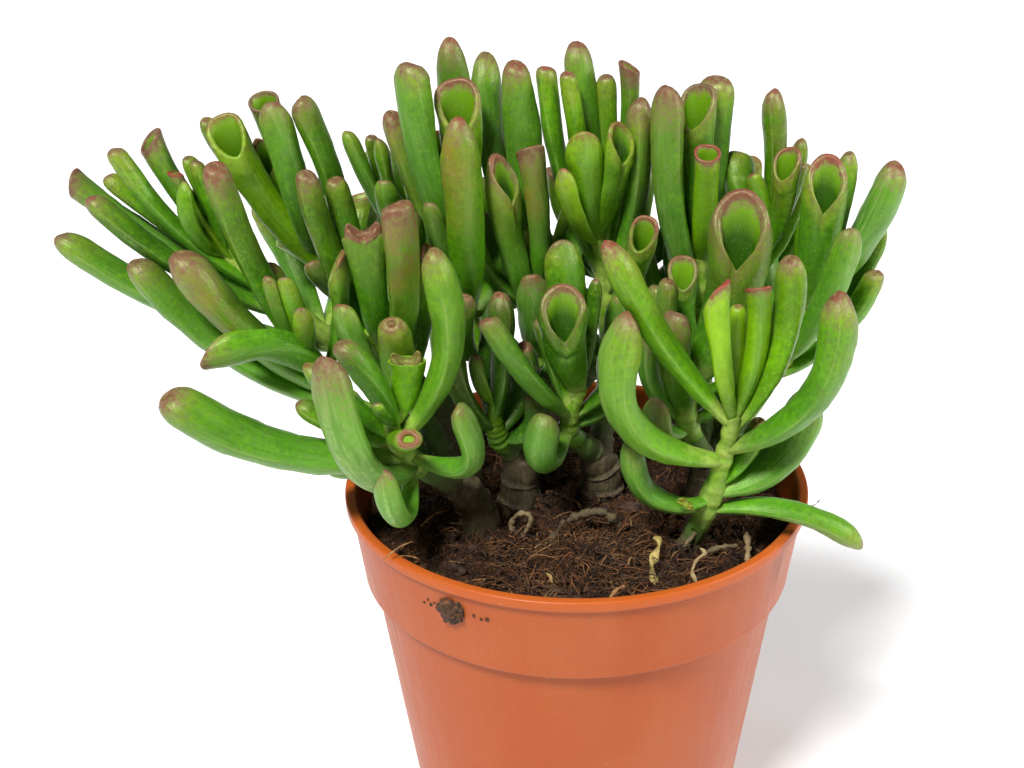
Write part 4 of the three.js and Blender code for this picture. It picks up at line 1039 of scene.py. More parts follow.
# The values that the material reads: zones of the leaf, its tones, its ages, and places on its skin.
def skinValues(leaves, marks, turn, share, length):
    look = leafTint
    sides, outer, lipRings, bowlRings = (
        leafLook[key] for key in ("sides", "outerRings", "lipRings", "bowlRings")
    )
    cos, sin = np.cos(turn), np.sin(turn)
    kind, width = leaves["kind"], perLeaf(leaves["width"])
    count = len(kind)

    def everyRing(outerValues, lipValues, bowlValues):
        blocks = zip((outerValues, lipValues, bowlValues), (outer, lipRings, bowlRings - 1))
        whole = np.concatenate([np.broadcast_to(b, (count, n, sides)) for b, n in blocks], axis=1)
        return whole.reshape(count, -1)

    def group(*blocks):
        values = np.stack(blocks, axis=-1)
        return np.concatenate([values, values[:, :1], values[:, -1:]], axis=1)

    tone, deep, grey, brown, young, red = (
        perLeaf(marks[key]) for key in ("tone", "deep", "grey", "brown", "young", "red")
    )
    fromTip = (1 - share) * length / width
    overLip = evenShares(lipRings).reshape(1, -1, 1)
    downBowl = (np.arange(1, bowlRings) / bowlRings).reshape(1, -1, 1)
    less, narrow = look["lowSide"]
    side = 1 - less * perLeaf(kinds["slant"][kind] > look["slanted"]) * ((1 + sin) / 2) ** narrow
    cutFlat = (kind == fingerKind) & (marks["point"] < look["openTip"])
    hollow = perLeaf(((kind != fingerKind) & (kind != notchKind)) | cutFlat)
    near = np.exp(-(fromTip / perLeaf(marks["reach"])) ** look["tipFade"]) * side
    oneSide = mix(look["blushAround"], 1, 0.5 + 0.5 * np.cos(turn - perLeaf(marks["side"])))
    blush = perLeaf(marks["blush"]) * comesIn(share, "blush") * oneSide
    allRound, outside, growing = look["frost"]
    lower, fading = look["frostDown"]
    bandAt, bandWidth, inward = look["sheenBand"]
    # Painted highlight: a pale band of bloom along the middle of each broad face.
    sheenBand = bell((cos - bandAt) / bandWidth) * (look["sheenBandStrength"] - inward * sin) * comesIn(share, "sheenBand")
    frostAndSheen = grey * (allRound + outside * (0.5 - 0.5 * sin) ** growing) * (lower - fading * share)
    frostAndSheen = np.clip(frostAndSheen + sheenBand, 0, 1)
    # Painted shade in the hollow: darker green further down, more so in spoons, up to a most for each kind.
    shade = look["spoonShade"] * perLeaf(kind == spoonKind) * smooth(2 * downBowl)
    dim = np.minimum(look["lipDim"] + shade + look["bowlShadeDown"] * downBowl, perLeaf(look["deepestShade"][kind]))
    most, fade = look["bowlBrown"]
    capNear = most * np.exp(-fade * downBowl) * side * hollow + side * (1 - hollow)
    run = everyRing(share * length, length, length + look["bowlRun"] * downBowl)

    def same(value):
        return everyRing(value, value, value)

    return {
        "zones": group(
            everyRing(share, 1, 1),
            everyRing(near, side * (1 + look["rimBrown"] * hollow), capNear),
            everyRing(0, look["lipDim"] * overLip * hollow, dim * hollow),
            everyRing(smooth((share - 0.1) * 6) * smooth(12 * (1 - share)), 0, 0),
        ),
        "tones": group(
            # The tones: random tone, painted shade for shoots in shade, bloom with a pale band that is a
            # painted highlight, and brown.
            same(tone), same(deep), everyRing(frostAndSheen, frostAndSheen[:, -1:], 0), same(brown),
        ),
        "ages": group(same(young), same(red), everyRing(blush, blush[:, -1:], 0)),
        "skin": group(
            same(width / 2 * cos), same(width / 2 * sin), look["run"] * run + look["apart"] * tone[:, 0],
        ),
    }


# A leaf is its wall, its rolled rim and its hollow, closed on a point at the root and one in the hollow.
def leafSurfaces(leaves, marks):
    sides = leafLook["sides"]
    count = len(leaves["width"])
    s = np.linspace(0, 1, 60).reshape(1, -1, 1)
    steps = curvePoint(*(leaves[key][:, None] for key in ("root", "belly", "tip")), s)
    length = perLeaf(np.linalg.norm(np.diff(steps, axis=1), axis=-1).sum(axis=1))
    turn = ringTurn(sides)
    share = 1 - (1 - np.linspace(0, 1, leafLook["outerRings"])) ** leafLook["ringCrowding"]
    share = share.reshape(1, -1, 1)
    wall = leafWalls(leaves, marks, turn, share, length)
    lips = leafLips(leaves, marks, wall)
    bowl, floor = leafBowls(leaves, marks, lips, length)
    rings = np.concatenate([wall, lips, bowl], axis=1)
    ringCount = rings.shape[1]
    points = np.concatenate([rings.reshape(count, -1, 3), leaves["root"][:, None], floor], axis=1)
    blocks = skinValues(leaves, marks, turn, share, length)
    faces = {
        "quads": ringQuads(ringCount, sides),
        "triangles": endFans(ringCount, sides, ringCount * sides, ringCount * sides + 1),
    }
    return [
        {"points": points[i], "values": {key: block[i] for key, block in blocks.items()}, **faces}
        for i in range(count)
    ]


# A bar of round rings along a path, each ring square to it. The frame is carried from ring to ring.
def barRings(path, radius, sides, side=(1.0, 0.0, 0.0)):
    way = unit(np.gradient(path, axis=0))
    turn = ringTurn(sides)
    side = np.array(side)
    rings = []
    for at, along, size in zip(path, way, radius):
        side = unit(side - along * (side @ along))
        other = np.cross(along, side)
        rings.append(at + (np.cos(turn)[:, None] * side + np.sin(turn)[:, None] * other) * size)
    return np.stack(rings)


# Corners of rings moved away from the path by so much.
def swollen(rings, path, by):
    return rings + unit(rings - path[:, None]) * by[..., None]


# Rings of any shape as a closed part, with values given for each ring or for each corner.
def ringsPart(rings, path, values=None):
    count, sides = rings.shape[:2]
    part = {
        "points": np.concatenate([rings.reshape(-1, 3), path[:1], path[-1:]]),
        "quads": ringQuads(count, sides),
        "triangles": endFans(count, sides, count * sides, count * sides + 1),
        "values": {},
    }
    for key, rows in (values or {}).items():
        whole = np.repeat(rows, sides, axis=0) if len(rows) == count else rows
        part["values"][key] = np.concatenate([whole, whole[:1], whole[-1:]])
    return part


# A green stem: swollen at each pair of leaves, with a pale joint there.
greenStem = {
    "sides": 20, "rings": 70, "swelling": 0.17, "jointWidth": 0.045, "tuckIn": 1.2, "endTaper": 0.6,
    "lumps": (0.12, 5),  # height and size in millimetres
    "age": 0.3,
    "tint": (0.02, 0.12),  # the place along a leaf whose colour a joint has, and how far on the rest is
}


def stemPart(name, seats, tone):
    start, bend, tip = stemLines[name]
    s = np.linspace(0, 1, greenStem["rings"])
    path = curvePoint(start, bend, tip, s[:, None])
    path[0] -= unit(bend - start) * greenStem["tuckIn"]
    joints = bell((s[:, None] - seats) / greenStem["jointWidth"]).max(axis=1)
    radius = mix(stemForm["greenRadius"], stemForm["tipRadius"], s) * (1 + greenStem["swelling"] * joints)
    radius[-1] *= greenStem["endTaper"]
    rings = barRings(path, radius, greenStem["sides"])
    rise, size = greenStem["lumps"]
    rings = swollen(rings, path, rise * ripple(rings, size, 33) * smooth(5 * s)[:, None])
    none, run = 0 * s, leafTint["run"] * leafTint["apart"] * s
    # Painted shade: the stem is laid darker green when its shoot stands in shade.
    deep = shadePaintedShoots.get(name, 0.0)
    jointTint, further = greenStem["tint"]
    values = {
        "zones": np.stack([jointTint + further * (1 - joints), none, none, none], axis=-1),
        "tones": np.stack([none + tone, none + deep, np.clip(0.5 - s, 0, 1), none], axis=-1),
        "ages": np.stack([none + greenStem["age"], none, none], axis=-1),
        "skin": np.stack([path[:, 0], path[:, 1], run], axis=-1),
    }
    return ringsPart(rings, path, values)


# The leaf skin. Colours are in linear light. Noises have a scale, a detail and a roughness. Ranges have the
# low and high of what is read, and then what these turn to, which is 0 and 1 where nothing is said.
skinLook = {
    "colours": {
        "base": (0.50, 0.62, 0.130),
        "low": (0.114, 0.372, 0.002),
        "middle": (0.064, 0.255, 0.001),
        "high": (0.108, 0.305, 0.003),
        "tip": (0.22, 0.30, 0.020),
        # A dark green: painted shade on shoots that stand in shade, and also random darker clouds and flecks.
        "deep": (0.018, 0.075, 0.001),
        "young": (0.30, 0.56, 0.004),
        "cool": (0.066, 0.240, 0.024),
        # Pale wax bloom, also the colour of a painted highlight band.
        "bloomAndSheen": (0.300, 0.480, 0.120),
        "light": (0.230, 0.500, 0.010),
        "blush": (0.235, 0.145, 0.022),
        "brown": (0.238, 0.150, 0.080),
        "dark": (0.128, 0.062, 0.040),
        "scarlet": (0.30, 0.040, 0.034),
        "bowl": (0.170, 0.370, 0.006),
        # A dark green laid deep in a hollow as painted shade.
        "paintedBowlShade": (0.026, 0.105, 0.001),
        "margin": (0.31, 0.38, 0.10),
        "speck": (0.36, 0.42, 0.25),
    },
    "alongLeaf": (
        (0.0, "base"), (0.08, "base"), (0.21, "low"), (0.5, "middle"), (0.85, "high"), (1.0, "tip"),
    ),
    "streaks": (0.9, 5.0, 0.62), "mottle": (170.0, 4.0, 0.6), "cloud": (60.0, 3.0, 0.55),
    "fleck": (760.0, 3.0, 0.62), "grain": (1300.0, 3.0, 0.65), "dots": 1150.0, "cool": 0.75,
    "ranges": {
        "marginSide": (0.42, 0.12), "marginStreak": (0.4, 0.6, 0.05, 0.4),
        "shift": (0.3, 0.7, -0.05, 0.12), "fresh": (0.25, 0.65, 0.5, 1.0), "cloud": (0.36, 0.66),
        "tone": (0.0, 1.0, 0.22, 0.85), "darkFleck": (0.48, 0.68),
        "youngFleck": (0.0, 1.0, 0.5, 0.12), "lightFleck": (0.46, 0.3, 0.0, 0.3),
        "bloomStreak": (0.38, 0.62, 0.1, 0.9), "bloomFleck": (0.36, 0.6, 0.3, 1.0),
        "bloomInShade": (0.0, 1.0, 1.0, 0.3), "blush": (0.32, 0.62, 0.15, 0.85),
        "bowl": (0.3, 0.45), "paintedBowlShade": (0.45, 0.85), "ragged": (0.3, 0.7, -0.28, 0.28),
        "brown": (0.2, 0.95, 0.0, 0.9), "dark": (0.65, 1.1, 0.0, 0.8), "scarlet": (0.72, 1.1),
        "dots": (0.3, 0.12), "dotPatch": (0.4, 0.7, 0.0, 0.35), "rough": (0.3, 0.7, 0.29, 0.43),
    },
    "roughBloom": 0.25,
    "heights": (1.0, 0.35, 0.45),  # of streaks, flecks and grain
    "relief": (0.5, 0.0004),
    "shader": {
        "Specular IOR Level": 0.5,
        "Specular Tint": (0.9, 1.0, 0.55, 1.0),
        "Subsurface Weight": 0.1,
        "Subsurface Radius": (0.6, 1.0, 0.1),
        "Subsurface Scale": 0.0015,
    },
}


# Green by place along the leaf, mottled, with bloom, blush, brown tip and pale specks laid over it. Some of
# it is painted light: darker green as painted shade on shoots that stand in shade and deep in hollows, and a
# pale band of bloom that is also a painted highlight.
def makeLeafSkin():
    material, tree, shader, place = startMaterial("leaf skin")
    look = skinLook
    colours = look["colours"]
    along, near, inside, margin = readAttribute(tree, "zones")
    # deep reads painted shade, and grey reads bloom with a pale band that paints a highlight.
    tone, deep, grey, brown = readAttribute(tree, "tones")
    ages = addNode(tree, "ShaderNodeAttribute", attribute_name="ages").outputs["Vector"]
    young, red, blush = addNode(tree, "ShaderNodeSeparateXYZ", {0: ages}).outputs
    skin = addNode(tree, "ShaderNodeAttribute", attribute_name="skin").outputs["Vector"]
    side = mathNode(tree, "ABSOLUTE", addNode(tree, "ShaderNodeSeparateXYZ", {0: skin}).outputs[1])
    streaks = noiseNode(tree, skin, *look["streaks"])
    mottle, cloud, fleck, grain = noises(tree, place, look, "mottle", "cloud", "fleck", "grain")

    def ranged(value, name):
        return rangeNode(tree, value, *look["ranges"][name])

    colour = rampNode(tree, plus(tree, along, ranged(mottle, "shift")), colours, look["alongLeaf"])
    # Bloom, with its pale band that paints a highlight, and less of it in painted shade.
    bloomAndSheen = times(
        tree, grey, ranged(streaks, "bloomStreak"), ranged(fleck, "bloomFleck"), ranged(deep, "bloomInShade"),
    )
    ragged = plus(tree, near, ranged(fleck, "ragged"))
    dots = ranged(dotsNode(tree, place, look["dots"]), "dots")
    colour = layColours(tree, colour, colours, (
        # The first layer is painted shade: leaves and stems of shoots that stand in shade are laid darker
        # green.
        (deep, "deep"),
        (times(tree, young, ranged(streaks, "fresh")), "young"),
        (times(tree, ranged(cloud, "cloud"), ranged(tone, "tone")), "deep"),
        (times(tree, ranged(fleck, "darkFleck"), ranged(young, "youngFleck")), "deep"),
        (ranged(fleck, "lightFleck"), "light"),
        (times(tree, grey, look["cool"]), "cool"),
        (bloomAndSheen, "bloomAndSheen"),
        (times(tree, margin, ranged(side, "marginSide"), ranged(streaks, "marginStreak")), "margin"),
        (times(tree, blush, ranged(mottle, "blush")), "blush"),
        # The hollow's own yellow-green near its top, then painted shade: darker green deeper down.
        (ranged(inside, "bowl"), "bowl"),
        (ranged(inside, "paintedBowlShade"), "paintedBowlShade"),
        (times(tree, ranged(ragged, "brown"), brown), "brown"),
        (times(tree, ranged(ragged, "dark"), brown), "dark"),
        (times(tree, ranged(ragged, "scarlet"), red), "scarlet"),
        (times(tree, dots, ranged(mottle, "dotPatch")), "speck"),
    ))
    rough = plus(tree, ranged(grain, "rough"), times(tree, bloomAndSheen, look["roughBloom"]))
    height = weighed(tree, (streaks, fleck, grain), look["heights"])
    finishShader(tree, shader, look, colour, rough, height)
    return material


leafSkin = makeLeafSkin()
leafParts = leafSurfaces(leaves, markRows(leaves))
for index, name in enumerate(shoots):
    own = np.nonzero(leaves["shoot"] == index)[0]
    seats = np.unique(np.round(leaves["seat"][own], 2))
    stem = stemPart(name, seats, float(scatter(300 + index)))
    whole = joinParts([stem] + [leafParts[row] for row in own])
    makePiece("shoot_" + name + "_fine", whole, leafSkin, ["shoot_" + name])
print("shoots dressed")


# Wood: brown trunks and arms, ringed where old leaves were, cracked along their length and green near the
# shoots. Lengths are in millimetres, and heights are shares of the radius.
barkLook = {
    "sides": 44, "step": 0.5, "lumps": 0.055, "lumpSize": 9, "cracks": 0.045, "crackSize": 2.6,
    "crackStretch": 0.22, "crackMost": 0.6, "scarStep": 5.6, "scarHeight": 0.12, "scarTilt": 0.5,
    "scarWidth": 0.45, "scarPatch": 12,
    "groove": (0.9, 0.5, 0.5),  # beside each scar: how far off, how wide and how deep
    "footFlare": 0.16, "sunk": 12,
    "topIn": 0.3,  # how far below its top a trunk's line ends, in radii
    "topTaper": (0.85, 0.5), "wander": 0.7, "armStart": 0.2,
    "armSwell": (0.25, 6),  # how much thicker an arm starts, and how soon that fades
    "greenFrom": (0.3, 0.6),  # where along an arm green sets in, and over what share of it
    "colours": {
        "dark": (0.022, 0.015, 0.005),
        "brown": (0.070, 0.052, 0.020),
        "grey": (0.118, 0.098, 0.044),
        "scar": (0.21, 0.165, 0.10),
        "green": (0.080, 0.150, 0.020),
        "joint": (0.24, 0.28, 0.07),
    },
    "tones": ((0.0, "dark"), (0.45, "brown"), (1.0, "grey")),
    "squeeze": 0.16, "streaks": (900.0, 5.0, 0.65), "patches": (170.0, 4.0, 0.6),
    "grain": (1500.0, 4.0, 0.7),
    "toneWeights": (0.6, 0.4),  # of streaks and patches
    "tone": (0.36, 0.64), "greenPatch": (0.3, 0.5, 0.65, 1.0), "scarShare": 0.6,
    "rough": (0.3, 0.7, 0.62, 0.9),
    "heights": (1.0, 0.5),  # of streaks and grain
    "relief": (0.8, 0.0007),
}


# Two values as a colour attribute: of wood its green and its scars, of bits their tone and their moss.
def twoValues(first, second=0.0):
    return np.stack([first, 0 * first + second, 0 * first, 1 + 0 * first], axis=-1)


def barkPart(path, radius, seed, green):
    look = barkLook
    run = np.concatenate([[0], np.cumsum(np.linalg.norm(np.diff(path, axis=0), axis=1))])
    rings = barRings(path, radius, look["sides"])
    lumps = look["lumps"] * ripple(rings, look["lumpSize"], seed)
    streaked = rings * np.array((1, 1, look["crackStretch"]))
    cracks = look["cracks"] * np.minimum(ripple(streaked, look["crackSize"], seed + 1, 14), look["crackMost"])
    tilt = look["scarTilt"] * np.sin(ringTurn(look["sides"]) + seed)
    at = (run[:, None] + tilt + 2.1 * scatter(seed)) / look["scarStep"]
    away = (at - np.round(at)) * look["scarStep"]
    off, wide, deep = look["groove"]
    scar = bell(away / look["scarWidth"]) - deep * bell((away - off) / wide)
    scar *= smooth(0.6 + ripple(rings, look["scarPatch"], seed + 2))
    rings = swollen(rings, path, radius[:, None] * (lumps + cracks + look["scarHeight"] * scar))
    greens = np.repeat(green[:, None], look["sides"], axis=1)
    looks = twoValues(greens, np.clip(scar, 0, 1)).reshape(-1, 4)
    return ringsPart(rings, path, {"looks": looks})


# Points at even steps along a smooth curve through a few places: cubic pieces, as for the girth.
def throughPlaces(places, step):
    places = np.array(places, float)
    slope = np.gradient(places, axis=0)
    made = []
    for i in range(len(places) - 1):
        count = max(2, int(np.linalg.norm(places[i + 1] - places[i]) / step))
        t = np.linspace(0, 1, count, endpoint=False)[:, None]
        made.append(cubicPiece(t, places[i], slope[i], places[i + 1], slope[i + 1]))
    made.append(places[-1:])
    return np.concatenate(made)


def trunkPart(name, seed):
    trunk = trunks[name]
    ground, top = (np.array(trunk[key], float) for key in ("ground", "top"))
    lean = unit(top - ground)
    radius = trunk["radius"]
    foot = ground - up * barkLook["sunk"]
    path = throughPlaces((foot, ground, top - lean * barkLook["topIn"] * radius), barkLook["step"])
    high = path[:, 2:]
    wander = np.concatenate([np.sin(high * 0.33 + seed), np.cos(high * 0.27 + 2 * seed)], axis=1)
    wander = barkLook["wander"] * wander
    path[:, :2] += wander * smooth((high - ground[2]) / 6) * smooth((top[2] - high) / 4)
    rise = (path[:, 2] - ground[2]) / (top[2] - ground[2] + 1e-6)
    size = radius * (1 + barkLook["footFlare"] * np.exp(-np.maximum(rise, 0) * 4))
    size[-2:] *= barkLook["topTaper"]
    parts = [barkPart(path, size, seed, 0 * size)]
    swell, fading = barkLook["armSwell"]
    start, over = barkLook["greenFrom"]
    for number, shoot in enumerate(trunk["arms"]):
        fork, end = armLines[shoot]
        slim = min(stemForm["armRadius"], stemForm["slimArm"] * radius)
        out = fork + unit(end - fork) * radius * barkLook["armStart"]
        path = throughPlaces((fork - lean * radius, out, end), barkLook["step"])
        share = np.linspace(0, 1, len(path))
        size = mix(slim, stemForm["greenRadius"], smooth(share)) * (1 + swell * np.exp(-share * fading))
        green = smooth((share - start) / over)
        parts.append(barkPart(path, size, seed + 10 * (number + 1), green))
    return joinParts(parts)


def makeBark():
    material, tree, shader, place = startMaterial("bark")
    look = barkLook
    colours = look["colours"]
    green, scar, _, _ = readAttribute(tree, "looks")
    streaks = noiseNode(tree, drawnOut(tree, place, look["squeeze"]), *look["streaks"])
    patches, grain = noises(tree, place, look, "patches", "grain")
    tone = weighed(tree, (streaks, patches), look["toneWeights"])
    colour = rampNode(tree, rangeNode(tree, tone, *look["tone"]), colours, look["tones"])
    greenShare = times(tree, green, rangeNode(tree, patches, *look["greenPatch"]))
    colour = mixColour(tree, greenShare, colour, colours["green"])
    pale = mixColour(tree, green, colours["scar"], colours["joint"])
    colour = mixColour(tree, times(tree, scar, look["scarShare"]), colour, pale)
    height = weighed(tree, (streaks, grain), look["heights"])
    finishShader(tree, shader, look, colour, rangeNode(tree, grain, *look["rough"]), height)
    return material


barkSkin = makeBark()
for index, name in enumerate(trunks):
    makePiece(name + "_fine", trunkPart(name, 40 + 3 * index), barkSkin, [name])
print("wood made")


# The pot: a turned profile with rounded corners. Faint waves keep it from being a perfect machine turning.
potLook = {
    "arcSteps": 6, "runStep": 1.6, "lipRound": 0.75, "edgeRound": 0.7, "footRound": 1.6,
    "innerRound": 1.2, "mouldLine": 0.16, "warp": 0.12, "warpSize": 70,
    "warpFrom": (4, 30),  # the height where it starts, and over how much it comes in
    "warpEnds": 0.8,  # how far inside the rim it has come in
    "footRing": (36.0, 0.9),  # a low ring under the base: its inner radius and height
    "colours": {
        "clay": (0.395, 0.075, 0.011),
        "pale": (0.425, 0.099, 0.023),
        "deep": (0.375, 0.064, 0.007),
        # A lighter orange for the rim's top, laid as a painted highlight.
        "lip": (0.520, 0.108, 0.014),
        "dust": (0.480, 0.26, 0.16),
        "stain": (0.14, 0.045, 0.020),
    },
    "tones": ((0.0, "deep"), (0.5, "clay"), (1.0, "pale")),
    "squeeze": 0.05, "streaks": (420.0, 4.0, 0.6), "wide": (60.0, 3.0, 0.5),
    "cloud": (22.0, 3.0, 0.55), "grain": (1400.0, 3.0, 0.6), "specks": 260.0,
    "toneWeights": (0.55, 0.45),  # of cloud and wide streaks
    "rimHighlight": 0.55,
    "ranges": {
        "tone": (0.35, 0.65), "streaks": (0.35, 0.65, 0.0, 0.22),
        "darkGrain": (0.45, 0.7, 0.0, 0.35), "paleGrain": (0.5, 0.3, 0.0, 0.3),
        # The heights over which the painted highlight on the rim comes in.
        "lip": (0.1012, 0.1030),  # metres
        "dust": (0.10, 0.04), "dusty": (0.5, 0.62, 0.0, 0.5), "grime": (0.09, 0.03),
        "grimy": (0.54, 0.62, 0.0, 0.7), "rough": (0.3, 0.7, 0.34, 0.46),
    },
    "heights": (1.0, 0.3),  # of streaks and grain
    "relief": (0.22, 0.0004),
    "shader": {
        "Subsurface Weight": 0.08,
        "Subsurface Radius": (1.0, 0.3, 0.12),
        "Subsurface Scale": 0.002,
        "Specular IOR Level": 0.28,
    },
}


# Straight runs between corners, each corner replaced by a short curve that starts its radius before it.
def roundedProfile(corners, steps, runStep):
    places = np.array([c[:2] for c in corners], float)
    made = [places[:1]]

    def runTo(place):
        start = made[-1][-1]
        count = max(1, int(np.linalg.norm(place - start) / runStep))
        made.append(start + (place - start) * evenShares(count)[:, None])

    for i in range(1, len(corners) - 1):
        before, here, after = places[i - 1 : i + 2]
        back, on = np.linalg.norm(before - here), np.linalg.norm(after - here)
        size = min(corners[i][2], 0.45 * back, 0.45 * on)
        first, last = here + (before - here) / back * size, here + (after - here) / on * size
        runTo(first)
        made.append(curvePoint(first, here, last, evenShares(steps)[:, None]))
    runTo(places[-1])
    return np.concatenate(made)


def potCorners():
    form, look = potForm, potLook
    high, rim = form["height"], form["rimRadius"]
    collarTop = rim - form["lipStand"]
    collarFoot = collarTop - form["slope"] * (form["collarHeight"] - form["lipHeight"])
    bodyTop = collarFoot - form["collarStep"]
    step = high - form["collarHeight"]
    base = bodyTop - form["slope"] * step
    ringIn, ringHigh = look["footRing"]
    mould = look["mouldLine"]
    return [
        (0, ringHigh, 0),
        (ringIn - 0.5, ringHigh, 0.5),
        (ringIn, 0, 0.4),
        (base - 0.4, 0, look["footRound"]),
        (bodyTop, step - 0.2, 0.5),
        (collarFoot - 0.5, step - 0.2, 0.3),
        (collarFoot + mould, step + 0.25, look["edgeRound"]),
        (collarFoot + 0.25, step + 1.5, 0.3),
        (collarTop, high - form["lipHeight"] - 0.4, 0.5),
        (rim, high - form["lipHeight"], look["lipRound"]),
        (rim, high, look["lipRound"]),
        (rim - form["lipTop"], high, look["lipRound"]),
        (rim - form["lipTop"] - 0.6, high - 1.5, 0.8),
        (bodyTop - form["wall"], step - form["wall"], look["innerRound"]),
        (base - form["wall"] + form["slope"] * form["floor"], form["floor"], look["innerRound"]),
        (0, form["floor"], 0),
    ]


# Profile points turned round the upright axis, closed on a point at each end.
def turnedPart(profile, sides):
    turn = ringTurn(sides)
    radius, high = profile[1:-1, :1], profile[1:-1, 1:]
    rings = np.stack([radius * np.cos(turn), radius * np.sin(turn), np.repeat(high, sides, axis=1)], axis=-1)
    ends = np.array([(0, 0, profile[0, 1]), (0, 0, profile[-1, 1])])
    return ringsPart(rings, ends)


def makeClay():
    material, tree, shader, place = startMaterial("pot plastic")
    look = potLook
    colours = look["colours"]
    high = addNode(tree, "ShaderNodeSeparateXYZ", {0: place}).outputs[2]
    streaks, wide = noises(tree, drawnOut(tree, place, look["squeeze"]), look, "streaks", "wide")
    cloud, grain = noises(tree, place, look, "cloud", "grain")
    specks = dotsNode(tree, place, look["specks"])

    def ranged(value, name):
        return rangeNode(tree, value, *look["ranges"][name])

    tone = weighed(tree, (cloud, wide), look["toneWeights"])
    colour = layColours(tree, rampNode(tree, ranged(tone, "tone"), colours, look["tones"]), colours, (
        (ranged(streaks, "streaks"), "pale"),
        (ranged(grain, "darkGrain"), "deep"),
        (ranged(grain, "paleGrain"), "pale"),
        # Painted highlight: the rim's top is laid in a lighter orange.
        (times(tree, ranged(high, "lip"), look["rimHighlight"]), "lip"),
        (times(tree, ranged(specks, "dust"), ranged(cloud, "dusty")), "dust"),
        (times(tree, ranged(specks, "grime"), ranged(wide, "grimy")), "stain"),
    ))
    height = weighed(tree, (streaks, grain), look["heights"])
    finishShader(tree, shader, look, colour, ranged(streaks, "rough"), height)
    return material


# The turned pot, its upright walls drawn in a little here and there, but not at the rim.
def potPart():
    part = turnedPart(roundedProfile(potCorners(), potLook["arcSteps"], potLook["runStep"]), potForm["sides"])
    points = part["points"]
    away = points * np.array((1, 1, 0))
    out = np.linalg.norm(away, axis=1)
    start, over = potLook["warpFrom"]
    warp = potLook["warp"] * ripple(points, potLook["warpSize"], 5) * smooth((points[:, 2] - start) / over)
    warp *= smooth((potForm["rimRadius"] - out) / potLook["warpEnds"])
    part["points"] = points - unit(away) * np.abs(warp)[:, None] * (out > 1)[:, None]
    return part


makePiece("pot_fine", potPart(), makeClay(), ["pot"])
print("pot turned")


# The soil: a rough bed, and crumbs, clods, fibres and roots on it.
soilLook = {
    "rings": 120, "sides": 320,
    "ripples": ((9, 1.0), (4, 0.95), (1.9, 0.6), (1.0, 0.3)),  # size and height in millimetres
    "heap": (2, -37, 16, 1.6),  # the fibrous heap in front: place, reach and height
    "edgeDip": (1.2, 0.8, 0.12),  # depth, then start and stretch as shares of the rim's radius
    "leftDip": (1.6, 20, 25, 0.5, 0.4),  # depth, then the same to the left in millimetres, and as shares
    "wallGap": 0.15,
    "brimRise": 15.4,  # from the top of the inner wall's slope to the soil's edge
    "inset": 6.5,  # how far inside the rim's radius the bits end
    "lumps": {
        "soil_crumbs": {
            "count": 2600, "inset": 0, "size": (0.25, 0.95), "small": 2,
            "tone": (0.36, 0.14), "toneRange": (0.05, 0.85), "splits": 0, "rough": 0.7, "seed": 11,
        },
        "soil_clods": {
            "count": 90, "inset": 1, "size": (1.0, 2.8), "small": 1.6,
            "tone": (0.32, 0.1), "toneRange": (0.1, 0.6), "splits": 2, "rough": 0.25, "seed": 13,
        },
    },
    "lumpForm": {
        "squash": (0.55, 1.0), "flatness": 0.75,
        "dents": (0.35, 3.2),  # depth and size on a ball of radius "ball"
        "ball": 2.4, "apart": 9,
    },
    "fibres": {
        "count": 5200, "inset": 3, "seed": 15,
        "heapShare": 0.4,  # share of the fibres that lie on the heap
        "heapSpread": 0.6, "lift": (0.05, 0.16), "bend": 0.2, "arch": 0.12,
        "length": (2.5, 9, 1.8),  # least, most, and how few are long
        "radius": (0.07, 0.25, 2), "tone": (0.48, 0.17), "toneRange": (0.12, 1),
        "patches": (0.16, 8, 19),  # strength, size and seed of lighter and darker patches
        "height": (0.05, 1.1), "flatHeight": 0.3,
    },
    "colours": {
        "black": (0.008, 0.004, 0.002),
        "dark": (0.030, 0.014, 0.006),
        "brown": (0.090, 0.038, 0.014),
        "red": (0.24, 0.088, 0.024),
        "tan": (0.40, 0.25, 0.095),
        "olive": (0.13, 0.105, 0.048),
        "straw": (0.36, 0.28, 0.15),
    },
    "bed": {
        "tones": ((0.0, "black"), (0.35, "dark"), (0.7, "brown"), (1.0, "red")),
        "coarse": (260.0, 5.0, 0.7), "fine": (1100.0, 5.0, 0.75),
        "threads": {"Scale": 260.0, "Distortion": 26.0, "Detail": 4.0, "Detail Scale": 1.6},
        "toneWeights": (0.5, 0.5), "tone": (0.34, 0.66), "thread": (0.86, 0.97),
        "threadPatch": (0.45, 0.6, 0.0, 0.5), "rough": (0.3, 0.7, 0.75, 0.98),
        "heights": (1.0, 0.4),  # of fine noise and threads
        "relief": (1.0, 0.0012),
        "shader": {"Specular IOR Level": 0.25},
    },
    "bits": {
        "tones": ((0.0, "black"), (0.25, "dark"), (0.5, "brown"), (0.72, "red"), (1.0, "tan")),
        "mossy": ((0.3, "dark"), (0.6, "olive"), (1.0, "straw")),
        "grain": (1300.0, 4.0, 0.7), "shift": (0.3, 0.7, -0.14, 0.14),
        "rough": (0.3, 0.7, 0.65, 0.95), "relief": (0.8, 0.0004),
    },
}


